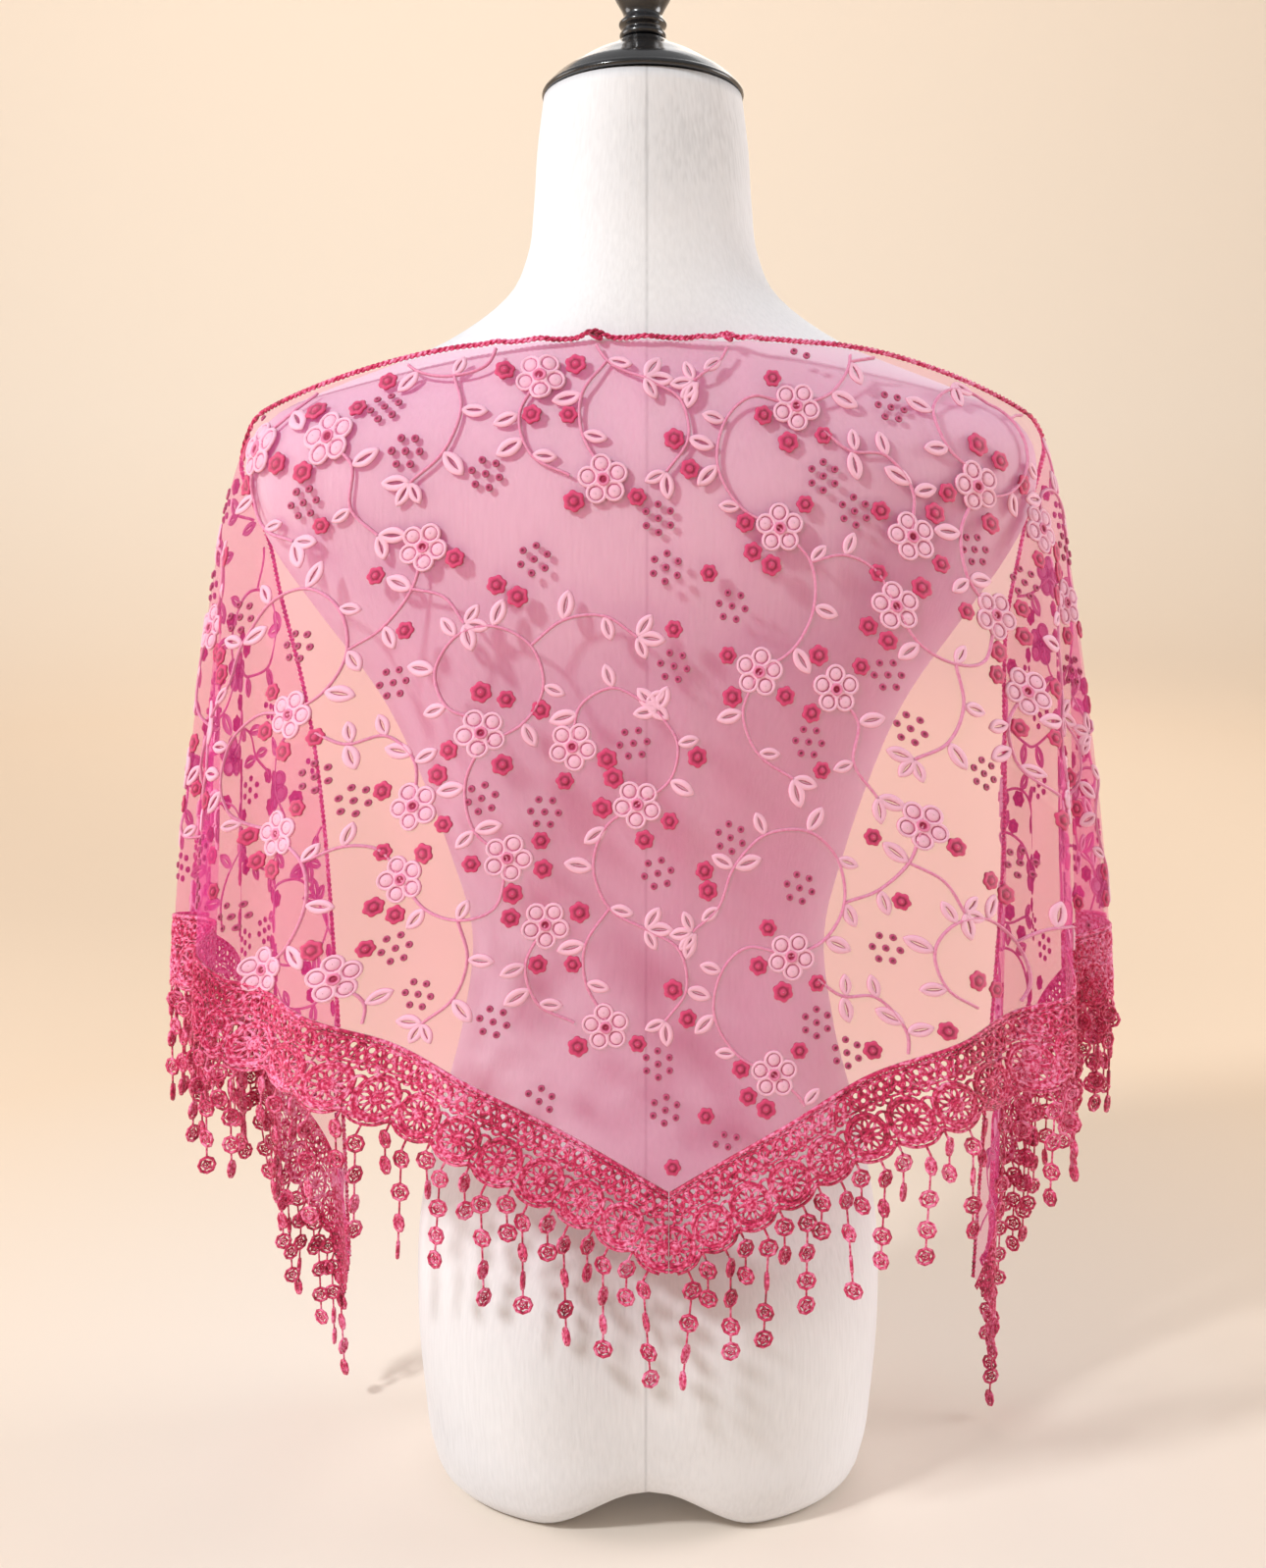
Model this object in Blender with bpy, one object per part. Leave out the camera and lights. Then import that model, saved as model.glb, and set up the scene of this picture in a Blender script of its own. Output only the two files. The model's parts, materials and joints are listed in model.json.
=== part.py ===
"""A triangular net shawl with a lace border and ring tassels, worn by a limbless dress form."""

from collections import namedtuple
import math

import bmesh
import bpy
import numpy as np
from mathutils import Vector
from mathutils.bvhtree import BVHTree
from mathutils.geometry import delaunay_2d_cdt

# Flat cut of the shawl, in metres
TOP_EDGE_HALF = 0.738
NET_DEPTH = 0.426
LACE_WIDTH = 0.040
LACE_VALLEY = 0.0355
LACE_SHOULDER = 0.0390
LACE_REPEATS = 36
HEM_LENGTH = math.hypot(TOP_EDGE_HALF, NET_DEPTH)
HEM_COS = TOP_EDGE_HALF / HEM_LENGTH
HEM_SIN = NET_DEPTH / HEM_LENGTH
LACE_PITCH = HEM_LENGTH / LACE_REPEATS
SIDE_SEAM = 0.165
TIP_CUT = 0.006

# Walls and the gaps between sewn pieces
CLOTH_WALL = 0.0014
BRAID_WIDTH = 0.0040
SEAM_GAP = 0.0003
REST_DISTANCE = 0.0028

# More clearance towards the shoulder tips, where the form curves most
TIP_REST = 0.0018
TIP_START = 0.110
TIP_RUN = 0.070

# Lace gaps that are cut through
GAP_RADIUS = 0.0036
GAP_SIDES = 5
GAP_OUT = 0.0235

# Backing strip and tassels
STRIP_WIDTH = 0.0026
ROOT_WIDTH = 0.0020
ROOT_REACH = 0.0045
RING_HALF_WIDTH = 0.0040
RING_HALF_THICKNESS = 0.0010
THREAD_HALF_WIDTH = 0.0008
LONG_RINGS = (0.010, 0.027, 0.043, 0.057)
SHORT_RINGS = (0.009, 0.024)
RING_TAIL = 0.006
RING_SHARE = 0.36
DOWN = np.array([0.0, 0.0, -1.0])

# How the shawl is worn
CLOTH_SHIFT = 0.013
SHOULDER_REACH_RIGHT = 0.205
SHOULDER_REACH_LEFT = 0.219
PIVOT_RISE = 0.030
LOW_LEVEL = 0.27
SHOULDER_ROUND = 0.035
SHOULDER_SHARE = 0.32
SWING_LIMIT = 0.34
LONGEST_FALL = 0.70
FALL_STEP = 0.001
PLACE_STEP = 0.01
FOLD_START = 0.01
FOLD_AFTER = 0.15
NORMAL_STEP = 0.002

# Spacing of the points inside the net: finer across the folds than along them
NET_MARGIN = 0.006
BACK_ROWS_HIGH = 0.018
HIGH_ROWS_END = 0.100
BACK_ROWS_LOW = 0.034
LOW_ROWS_START = 0.110
BACK_COLUMNS = 0.020
FIRST_ARC = 0.042
SECOND_ARC = 0.056
LAST_ARC = 0.620
FOLD_ROWS = 0.031
FOLD_COLUMNS = 0.013

# Columns where net, braid and lace share their edge points
SEAM_STEPS = 12
TOP_STEPS_BACK = 15
TOP_STEPS_SHOULDER = 10
TOP_STEPS_FRONT = 20
TOP_SHOULDER_END = 0.300

# Fall lines of the cloth from the centre back (place 0) over the shoulder tip (1) to the front (2)
Fall = namedtuple("Fall", "place top_x top_y top_z left_drop right_x left_x low_y")
FALL_LINES = (
    Fall(0.00, 0.000, -0.074, 0.6330, 0.000, 0.000, 0.000, -0.1260),
    Fall(0.25, 0.053, -0.069, 0.6320, 0.000, 0.051, 0.051, -0.1250),
    Fall(0.50, 0.106, -0.056, 0.6270, 0.000, 0.104, 0.103, -0.1180),
    Fall(0.75, 0.157, -0.034, 0.6130, 0.000, 0.161, 0.158, -0.1010),
    Fall(1.00, 0.200, -0.002, 0.5950, 0.001, 0.218, 0.217, -0.0640),
    Fall(1.20, 0.210, 0.010, 0.5870, 0.005, 0.243, 0.244, -0.0280),
    Fall(1.40, 0.213, 0.020, 0.5810, 0.009, 0.252, 0.251, 0.0100),
    Fall(1.60, 0.209, 0.028, 0.5800, 0.009, 0.244, 0.239, 0.0380),
    Fall(1.80, 0.201, 0.034, 0.5830, 0.005, 0.221, 0.210, 0.0520),
    Fall(2.00, 0.191, 0.032, 0.5890, 0.000, 0.188, 0.168, 0.0280),
)

# Crests and troughs of the folds: how far each pushes out at the low level
Fold = namedtuple("Fold", "place push")
FOLDS_RIGHT = (
    Fold(0.00, 0.000),
    Fold(0.30, 0.002),
    Fold(0.52, -0.003),
    Fold(0.72, 0.004),
    Fold(0.88, -0.005),
    Fold(1.00, 0.007),
    Fold(1.11, -0.008),
    Fold(1.21, 0.010),
    Fold(1.32, -0.010),
    Fold(1.44, 0.009),
    Fold(1.55, -0.010),
    Fold(1.65, 0.010),
    Fold(1.76, -0.007),
    Fold(1.85, 0.008),
    Fold(1.93, -0.009),
    Fold(2.00, 0.005),
)
FOLDS_LEFT = (
    Fold(0.00, 0.000),
    Fold(0.22, -0.002),
    Fold(0.45, 0.003),
    Fold(0.63, -0.004),
    Fold(0.80, 0.006),
    Fold(0.94, -0.007),
    Fold(1.06, 0.010),
    Fold(1.17, -0.011),
    Fold(1.28, 0.009),
    Fold(1.38, -0.008),
    Fold(1.49, 0.009),
    Fold(1.61, -0.011),
    Fold(1.71, 0.010),
    Fold(1.81, -0.011),
    Fold(1.90, 0.009),
    Fold(2.00, -0.005),
)

# Level sections of the dress form: half width, depth to the back and front, forward shift and tilt
Ring = namedtuple("Ring", "z half_width back front shift tilt square")
FORM_RINGS = (
    Ring(0.0000, 0.1130, 0.0920, 0.0780, 0.000, 0.0, 2.5),
    Ring(0.0060, 0.1190, 0.0985, 0.0840, 0.000, 0.0, 2.5),
    Ring(0.0200, 0.1240, 0.1040, 0.0880, 0.000, 0.0, 2.5),
    Ring(0.0500, 0.1280, 0.1080, 0.0900, 0.000, 0.0, 2.4),
    Ring(0.1000, 0.1310, 0.1090, 0.0900, 0.000, 0.0, 2.3),
    Ring(0.1450, 0.1295, 0.1045, 0.0865, 0.000, 0.0, 2.2),
    Ring(0.2000, 0.1190, 0.0890, 0.0790, 0.000, 0.0, 2.2),
    Ring(0.2600, 0.1035, 0.0690, 0.0710, 0.000, 0.0, 2.2),
    Ring(0.3150, 0.0975, 0.0600, 0.0680, 0.000, 0.0, 2.2),
    Ring(0.3600, 0.1085, 0.0650, 0.0740, 0.000, 0.0, 2.2),
    Ring(0.4000, 0.1215, 0.0770, 0.0860, 0.000, 0.0, 2.2),
    Ring(0.4450, 0.1410, 0.0890, 0.0960, 0.000, 0.0, 2.2),
    Ring(0.4950, 0.1760, 0.0975, 0.0930, 0.000, 0.0, 2.1),
    Ring(0.5200, 0.1935, 0.0998, 0.0870, 0.000, 0.0, 2.0),
    Ring(0.5450, 0.2055, 0.0995, 0.0785, 0.000, 0.0, 2.0),
    Ring(0.5680, 0.2082, 0.0968, 0.0690, 0.000, 0.0, 2.0),
    Ring(0.5850, 0.2022, 0.0923, 0.0625, 0.000, 0.0, 2.0),
    Ring(0.5980, 0.1870, 0.0872, 0.0575, 0.000, 0.0, 2.0),
    Ring(0.6080, 0.1635, 0.0828, 0.0545, 0.000, 0.0, 2.0),
    Ring(0.6180, 0.1370, 0.0775, 0.0515, 0.000, 0.5, 2.0),
    Ring(0.6280, 0.1110, 0.0722, 0.0500, 0.000, 1.0, 2.0),
    Ring(0.6400, 0.0890, 0.0668, 0.0490, 0.000, 2.5, 2.0),
    Ring(0.6550, 0.0700, 0.0615, 0.0480, 0.001, 4.5, 2.0),
    Ring(0.6750, 0.0600, 0.0565, 0.0472, 0.003, 7.0, 2.0),
    Ring(0.7000, 0.0566, 0.0533, 0.0470, 0.006, 10.0, 2.0),
    Ring(0.7290, 0.0546, 0.0512, 0.0472, 0.010, 12.5, 2.0),
    Ring(0.7540, 0.0514, 0.0500, 0.0480, 0.013, 14.0, 2.0),
)
FORM_SEGMENTS = 30
WAIST_HEIGHT = 0.315
BUST_HEIGHT = 0.440
BUST_RISE = 0.026
BUST_APART = 0.068
SEAT_HEIGHT = 0.110
SEAT_RISE = 0.008
SEAT_APART = 0.058
SWELL_WIDTH = 0.045
SWELL_HEIGHT = 0.055
ARCH_HALF_WIDTH = 0.062
ARCH_RISE = 0.0235
NECK_TILT = math.radians(14.0)

# The hips stand a little to the right of the shoulders
HIP_SHIFT = 0.0034
HIP_SHIFT_START = 0.500
HIP_SHIFT_FULL = 0.315

# Places the middle of the whole part's box on the origin
ORIGIN_X = 0.0019
ORIGIN_Y = -0.0132

# Turned profiles above the neck: radius, and height along the neck's axis
Turned = namedtuple("Turned", "radius height")
CAP_PROFILE = (
    Turned(0.0000, 0.0000),
    Turned(0.0512, 0.0000),
    Turned(0.0522, 0.0016),
    Turned(0.0512, 0.0040),
    Turned(0.0450, 0.0100),
    Turned(0.0380, 0.0145),
    Turned(0.0295, 0.0205),
    Turned(0.0200, 0.0250),
    Turned(0.0140, 0.0285),
    Turned(0.0120, 0.0310),
    Turned(0.0000, 0.0310),
)
FINIAL_PROFILE = (
    Turned(0.0000, 0.0313),
    Turned(0.0114, 0.0313),
    Turned(0.0122, 0.0345),
    Turned(0.0108, 0.0365),
    Turned(0.0125, 0.0395),
    Turned(0.0102, 0.0430),
    Turned(0.0105, 0.0455),
    Turned(0.0150, 0.0530),
    Turned(0.0178, 0.0640),
    Turned(0.0165, 0.0745),
    Turned(0.0115, 0.0830),
    Turned(0.0050, 0.0875),
    Turned(0.0000, 0.0885),
)
TURNED_SEGMENTS = 16


def clear_scene():
    for item in list(bpy.data.objects):
        bpy.data.objects.remove(item, do_unlink=True)


def make_material(name, color, roughness, metallic=0.0):
    material = bpy.data.materials.new(name)
    material.use_nodes = True
    shader = material.node_tree.nodes["Principled BSDF"]
    shader.inputs["Base Color"].default_value = (*color, 1.0)
    shader.inputs["Roughness"].default_value = roughness
    shader.inputs["Metallic"].default_value = metallic
    return material


def add_object(name, points, faces, material, smooth_angle=None):
    """Add one closed body from its points and faces."""
    mesh = bpy.data.meshes.new(name)
    centred = [(x - ORIGIN_X, y - ORIGIN_Y, z) for x, y, z in points]
    mesh.from_pydata(centred, [], faces)
    body = bmesh.new()
    body.from_mesh(mesh)
    bmesh.ops.recalc_face_normals(body, faces=body.faces)
    body.to_mesh(mesh)
    body.free()
    mesh.materials.append(material)
    if smooth_angle is not None:
        mesh.shade_smooth()
        mesh.set_sharp_from_angle(angle=math.radians(smooth_angle))
    item = bpy.data.objects.new(name, mesh)
    bpy.context.collection.objects.link(item)
    return item


def column(rows, name):
    return np.array([getattr(row, name) for row in rows])


def read_smooth(rows, key, name, place):
    """Read a table's column at any place, on a smooth curve through its rows."""
    knots = column(rows, key)
    values = column(rows, name)
    slopes = np.gradient(values, knots)
    place = np.clip(place, knots[0], knots[-1])
    low = np.clip(np.searchsorted(knots, place, side="right") - 1, 0, len(knots) - 2)
    span = knots[low + 1] - knots[low]
    t = (place - knots[low]) / span
    start = (2 * t**3 - 3 * t**2 + 1) * values[low] + (t**3 - 2 * t**2 + t) * span * slopes[low]
    end = (3 * t**2 - 2 * t**3) * values[low + 1] + (t**3 - t**2) * span * slopes[low + 1]
    return start + end


def read_folds(folds, place):
    """Run in even waves from each crest to the next trough."""
    knots = column(folds, "place")
    values = column(folds, "push")
    place = np.clip(place, knots[0], knots[-1])
    low = np.clip(np.searchsorted(knots, place, side="right") - 1, 0, len(knots) - 2)
    t = (place - knots[low]) / (knots[low + 1] - knots[low])
    return values[low] + (values[low + 1] - values[low]) * (1 - np.cos(math.pi * t)) / 2


def bump(distance, width):
    return np.exp(-((distance / width) ** 2))


# Dress form

def arch_lift(x):
    """Height of the underside: two flat feet with an arch from front to back between them."""
    inside = np.abs(x) < ARCH_HALF_WIDTH
    return np.where(inside, ARCH_RISE * 0.5 * (1 + np.cos(math.pi * x / ARCH_HALF_WIDTH)), 0.0)


def form_section(z, scale=1.0):
    """Points of one section of the form, anticlockwise from +X."""
    angle = np.arange(FORM_SEGMENTS) * 2 * math.pi / FORM_SEGMENTS
    power = 2.0 / read_smooth(FORM_RINGS, "z", "square", z)
    across = np.sign(np.cos(angle)) * np.abs(np.cos(angle)) ** power
    deep = np.sign(np.sin(angle)) * np.abs(np.sin(angle)) ** power
    x = across * read_smooth(FORM_RINGS, "z", "half_width", z)
    back = read_smooth(FORM_RINGS, "z", "back", z)
    front = read_smooth(FORM_RINGS, "z", "front", z)
    y = deep * np.where(deep > 0, front, back)
    apart = np.abs(x)
    bust = BUST_RISE * bump(apart - BUST_APART, SWELL_WIDTH) * bump(z - BUST_HEIGHT, SWELL_HEIGHT)
    seat = SEAT_RISE * bump(apart - SEAT_APART, SWELL_WIDTH) * bump(z - SEAT_HEIGHT, SWELL_HEIGHT)
    y = y + deep * np.where(deep > 0, bust, seat)
    x = x * scale
    y = y * scale
    tilt = math.radians(read_smooth(FORM_RINGS, "z", "tilt", z))
    shift = read_smooth(FORM_RINGS, "z", "shift", z)
    fade = max(0.0, 1.0 - z / 0.06)
    height = z - y * math.sin(tilt) + fade * arch_lift(x)
    lower = min(max((HIP_SHIFT_START - z) / (HIP_SHIFT_START - HIP_SHIFT_FULL), 0.0), 1.0)
    return np.column_stack([x + HIP_SHIFT * lower, shift + y * math.cos(tilt), height])


def loft(sections):
    """Join closed sections of equal point counts into a solid with a fan on each end."""
    count = len(sections[0])
    points = np.vstack(sections)
    faces = []
    for level in range(len(sections) - 1):
        for index in range(count):
            after = (index + 1) % count
            low = level * count
            high = low + count
            faces.append((low + index, low + after, high + after, high + index))
    bottom = len(points)
    top = bottom + 1
    last = (len(sections) - 1) * count
    ends = np.array([sections[0].mean(axis=0), sections[-1].mean(axis=0)])
    for index in range(count):
        after = (index + 1) % count
        faces.append((bottom, after, index))
        faces.append((top, last + index, last + after))
    return np.vstack([points, ends]), faces


def make_form(material):
    """Hips with an arched underside, and the bust, shoulders and neck above the waist."""
    hip_levels = (0.0, 0.004, 0.011, 0.022, 0.045, 0.075, 0.11, 0.145, 0.18, 0.215, 0.25, 0.285)
    sole = [form_section(0.0, scale) for scale in (0.25, 0.50, 0.72, 0.88)]
    hips = sole + [form_section(level) for level in hip_levels + (WAIST_HEIGHT,)]
    points, faces = loft(hips)
    points[len(hips) * FORM_SEGMENTS][2] = ARCH_RISE
    hips_object = add_object("form_hips", points, faces, material, 50)
    bust_levels = (WAIST_HEIGHT + SEAM_GAP, 0.345, 0.375, 0.405, 0.435, 0.465, 0.495, 0.525, 0.550, 0.570,
                   0.586, 0.600, 0.612, 0.623, 0.634, 0.646, 0.662, 0.685, 0.708, 0.731, 0.754)
    points, faces = loft([form_section(level) for level in bust_levels])
    bust_object = add_object("form_bust", points, faces, material, 50)
    return [hips_object, bust_object]


def make_turned(name, profile, material):
    """Turn a profile about the neck's tilted axis."""
    ring = form_section(FORM_RINGS[-1].z)
    seat = ring.mean(axis=0)
    axis = np.array([0.0, math.sin(NECK_TILT), math.cos(NECK_TILT)])
    across = np.array([1.0, 0.0, 0.0])
    deep = np.cross(axis, across)
    angle = np.arange(TURNED_SEGMENTS) * 2 * math.pi / TURNED_SEGMENTS
    points = []
    faces = []
    inner = profile[1:-1]
    for row in inner:
        centre = seat + axis * (row.height + SEAM_GAP)
        for turn in angle:
            points.append(centre + row.radius * (across * math.cos(turn) + deep * math.sin(turn)))
    for level in range(len(inner) - 1):
        for index in range(TURNED_SEGMENTS):
            after = (index + 1) % TURNED_SEGMENTS
            low = level * TURNED_SEGMENTS
            high = low + TURNED_SEGMENTS
            faces.append((low + index, low + after, high + after, high + index))
    first = len(points)
    points.append(seat + axis * (profile[0].height + SEAM_GAP))
    points.append(seat + axis * (profile[-1].height + SEAM_GAP))
    last = (len(inner) - 1) * TURNED_SEGMENTS
    for index in range(TURNED_SEGMENTS):
        after = (index + 1) % TURNED_SEGMENTS
        faces.append((first, after, index))
        faces.append((first + 1, last + index, last + after))
    return add_object(name, points, faces, material, 35)


# Drape of the flat shawl

def fall_tables():
    """How far a fall line has swung out, and how much height that costs, along its length."""
    length = np.arange(-PIVOT_RISE, LONGEST_FALL, FALL_STEP)
    start = np.exp(-np.maximum(length, 0.0) / SHOULDER_ROUND) * SHOULDER_SHARE / SHOULDER_ROUND
    rest = (1 - SHOULDER_SHARE) / LOW_LEVEL / (1 + (np.maximum(length, 0.0) / SWING_LIMIT) ** 6)
    slope = start + rest
    zero = np.searchsorted(length, 0.0)
    swing = np.cumsum(slope) * FALL_STEP
    square = np.cumsum(slope**2) * FALL_STEP
    fourth = np.cumsum(slope**4) * FALL_STEP
    return length, swing - swing[zero], square - square[zero], fourth - fourth[zero]


FALL_LENGTH, FALL_SWING, FALL_SQUARE, FALL_FOURTH = fall_tables()


def plan_place(side, place, swing):
    """Place in plan of a fall line, swung out by a share of its way, as if on the right."""
    top_x = read_smooth(FALL_LINES, "place", "top_x", place)
    top_y = read_smooth(FALL_LINES, "place", "top_y", place)
    right_x = read_smooth(FALL_LINES, "place", "right_x", place)
    left_x = read_smooth(FALL_LINES, "place", "left_x", place)
    low_x = np.where(side > 0, right_x, left_x)
    low_y = read_smooth(FALL_LINES, "place", "low_y", place)
    x = top_x + (low_x - top_x) * swing
    y = top_y + (low_y - top_y) * swing
    return x, y, np.hypot(low_x - top_x, low_y - top_y)


def drape(s, d):
    """Hang points of the flat shawl: s along the top edge from its middle, d down from it."""
    s = np.asarray(s, dtype=float)
    d = np.asarray(d, dtype=float)
    side = np.where(s < 0, -1.0, 1.0)
    reach = np.abs(s)
    shoulder = np.where(side > 0, SHOULDER_REACH_RIGHT, SHOULDER_REACH_LEFT)
    beyond = np.maximum(reach - shoulder, 0.0)
    deep = d + PIVOT_RISE
    turn = np.arctan2(beyond, deep) / (math.pi / 2)
    place = np.minimum(reach / shoulder, 1.0) + turn
    fall = np.hypot(beyond, deep) - PIVOT_RISE
    swing = np.interp(fall, FALL_LENGTH, FALL_SWING)
    x, y, way = plan_place(side, place, swing)
    square = np.interp(fall, FALL_LENGTH, FALL_SQUARE)
    fourth = np.interp(fall, FALL_LENGTH, FALL_FOURTH)
    drop = fall - way**2 * square / 2 - way**4 * fourth / 8
    z = read_smooth(FALL_LINES, "place", "top_z", place) - drop
    z = z - np.where(side < 0, read_smooth(FALL_LINES, "place", "left_drop", place), 0.0)
    before_x, before_y, _ = plan_place(side, place - PLACE_STEP, swing)
    after_x, after_y, _ = plan_place(side, place + PLACE_STEP, swing)
    run = np.hypot(after_x - before_x, after_y - before_y) + 1e-9
    out_x = (after_y - before_y) / run
    out_y = (before_x - after_x) / run
    grow = np.clip((fall - FOLD_START) / (LOW_LEVEL - FOLD_START), 0.0, None)
    grow = np.where(grow < 1, grow * grow * (3 - 2 * grow), 1 + FOLD_AFTER * (grow - 1))
    push = np.where(side > 0, read_folds(FOLDS_RIGHT, place), read_folds(FOLDS_LEFT, place)) * grow
    x = (x + out_x * push) * side + CLOTH_SHIFT * np.clip(1 - place, 0.0, 1.0)
    y = y + out_y * push
    return np.column_stack([x, y, z])


class Drape:
    """The hanging cloth, kept clear of the form that it rests on."""

    def __init__(self, form_objects):
        points = []
        faces = []
        for item in form_objects:
            start = len(points)
            points += [vertex.co + Vector((ORIGIN_X, ORIGIN_Y, 0.0)) for vertex in item.data.vertices]
            faces += [[start + index for index in face.vertices] for face in item.data.polygons]
        self.tree = BVHTree.FromPolygons(points, faces)

    def place(self, s, d):
        points = drape(s, d)
        for index, point in enumerate(points):
            near, normal, _, _ = self.tree.find_nearest(Vector(point))
            rest = REST_DISTANCE + TIP_REST * min(max((abs(point[0]) - TIP_START) / TIP_RUN, 0.0), 1.0)
            if (Vector(point) - near).dot(normal) < rest:
                points[index] = near + normal * rest
        return points

    def normals(self, s, d):
        """Directions through the wall, towards the form."""
        along = self.place(s + NORMAL_STEP, d) - self.place(s - NORMAL_STEP, d)
        down = self.place(s, d + NORMAL_STEP) - self.place(s, d - NORMAL_STEP)
        normal = np.cross(along, down)
        return normal / np.linalg.norm(normal, axis=1)[:, None]


def hem_to_flat(side, along, out):
    """Flat place of a point along a lower edge from the centre back, and out from that edge."""
    return side * (along * HEM_COS + out * HEM_SIN), NET_DEPTH - along * HEM_SIN + out * HEM_COS


def inside_loop(point, loop):
    """Whether a flat point lies inside a closed loop."""
    x, y = point
    inside = False
    previous = loop[-1]
    for corner in loop:
        if (corner[1] > y) != (previous[1] > y):
            share = (y - corner[1]) / (previous[1] - corner[1])
            if x < corner[0] + (previous[0] - corner[0]) * share:
                inside = not inside
        previous = corner
    return inside


def fill_flat(outline, holes=(), inner=()):
    """Triangles of a flat piece with holes, using extra points inside it."""
    points = []
    edges = []
    for loop in (outline, *holes):
        start = len(points)
        points += [Vector(point) for point in loop]
        edges += [(start + index, start + (index + 1) % len(loop)) for index in range(len(loop))]
    points += [Vector(point) for point in inner]
    flat, _, triangles, _, _, _ = delaunay_2d_cdt(points, edges, [], 1, 1e-6)
    kept = []
    for triangle in triangles:
        centre = sum((flat[index] for index in triangle), Vector((0.0, 0.0))) / 3
        if not any(inside_loop(centre, hole) for hole in holes):
            kept.append(tuple(triangle))
    return np.array([tuple(point) for point in flat]), kept


def split_wall(points, corners):
    """Halve a four-cornered wall the same way as the wall that faces it across a seam."""
    first, second, third, fourth = corners
    if points[first][2] > points[second][2]:
        return [(first, second, third), (first, third, fourth)]
    return [(second, third, fourth), (second, fourth, first)]


def thick_wall(name, drape_map, s, d, triangles, material):
    """Give a draped sheet its thickness and close its edges."""
    middle = drape_map.place(s, d)
    normal = drape_map.normals(s, d)
    count = len(middle)
    points = np.vstack([middle + normal * CLOTH_WALL / 2, middle - normal * CLOTH_WALL / 2])
    faces = []
    sides = {}
    for first, second, third in triangles:
        faces.append((first, second, third))
        faces.append((first + count, third + count, second + count))
        for start, end in ((first, second), (second, third), (third, first)):
            if (end, start) in sides:
                del sides[(end, start)]
            else:
                sides[(start, end)] = True
    for start, end in sides:
        faces += split_wall(points, (end, start, start + count, end + count))
    used = sorted({index for face in faces for index in face})
    order = {index: place for place, index in enumerate(used)}
    faces = [tuple(order[index] for index in face) for face in faces]
    return add_object(name, points[used], faces, material, 60)


# Net

def net_inner_points(side, start, end):
    """Points inside a stretch of net: level rows over the back, then arcs about the shoulder."""
    shoulder = SHOULDER_REACH_RIGHT if side > 0 else SHOULDER_REACH_LEFT
    points = []
    high_rows = np.arange(BACK_ROWS_HIGH, HIGH_ROWS_END, BACK_ROWS_HIGH)
    low_rows = np.arange(LOW_ROWS_START, NET_DEPTH, BACK_ROWS_LOW)
    for depth in np.concatenate([high_rows, low_rows]):
        for reach in np.arange(BACK_COLUMNS / 2, shoulder, BACK_COLUMNS):
            points.append((side * reach, depth))
    for radius in np.concatenate([[FIRST_ARC], np.arange(SECOND_ARC, LAST_ARC, FOLD_ROWS)]):
        steps = max(3, int(radius * math.pi / 2 / FOLD_COLUMNS))
        for step in range(steps):
            turn = (step + 0.5) / steps * math.pi / 2
            points.append((side * (shoulder + radius * math.sin(turn)), radius * math.cos(turn) - PIVOT_RISE))
    kept = []
    for s, d in points:
        room = (1 - abs(s) / TOP_EDGE_HALF - d / NET_DEPTH) * NET_DEPTH * HEM_COS
        if d > NET_MARGIN and room > NET_MARGIN and start + NET_MARGIN < abs(s) < end - NET_MARGIN:
            kept.append((s, d))
    return kept


def hem_columns():
    """Places along a lower edge where net and lace share their points."""
    return [index * LACE_PITCH / 2 for index in range(2 * LACE_REPEATS + 1)]


def top_columns():
    """Places along the top edge from a side seam to the tip where net and braid share points."""
    seam = SIDE_SEAM + SEAM_GAP / 2
    over_shoulder = np.linspace(seam, TOP_SHOULDER_END, TOP_STEPS_SHOULDER)
    down_front = np.linspace(TOP_SHOULDER_END, TOP_EDGE_HALF - TIP_CUT, TOP_STEPS_FRONT)
    return np.concatenate([over_shoulder[:-1], down_front])


def back_columns():
    """Places along the top edge between the side seams."""
    seam = SIDE_SEAM - SEAM_GAP / 2
    return np.linspace(-seam, seam, TOP_STEPS_BACK)


def seam_column(s):
    """Points down a seam line of the net, from the top edge towards the hem."""
    depth = NET_DEPTH * (1 - abs(s) / TOP_EDGE_HALF)
    return [(s, depth * step / SEAM_STEPS) for step in range(SEAM_STEPS)]


def make_net_back(drape_map, material):
    seam = SIDE_SEAM - SEAM_GAP / 2
    top = [(s, 0.0) for s in back_columns()[1:-1]]
    hem = []
    for side in (1, -1):
        for along in hem_columns():
            s, d = hem_to_flat(side, along, 0.0)
            if abs(s) < seam - 0.002:
                hem.append((s, d))
    hem = sorted(set(hem), reverse=True)
    right = seam_column(seam) + [(seam, NET_DEPTH * (1 - seam / TOP_EDGE_HALF))]
    left = seam_column(-seam) + [(-seam, NET_DEPTH * (1 - seam / TOP_EDGE_HALF))]
    outline = top + right + hem + left[::-1]
    inner = net_inner_points(1, -0.02, seam) + net_inner_points(-1, -0.02, seam)
    flat, triangles = fill_flat(outline, inner=inner)
    return thick_wall("net_back", drape_map, flat[:, 0], flat[:, 1], triangles, material)


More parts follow.
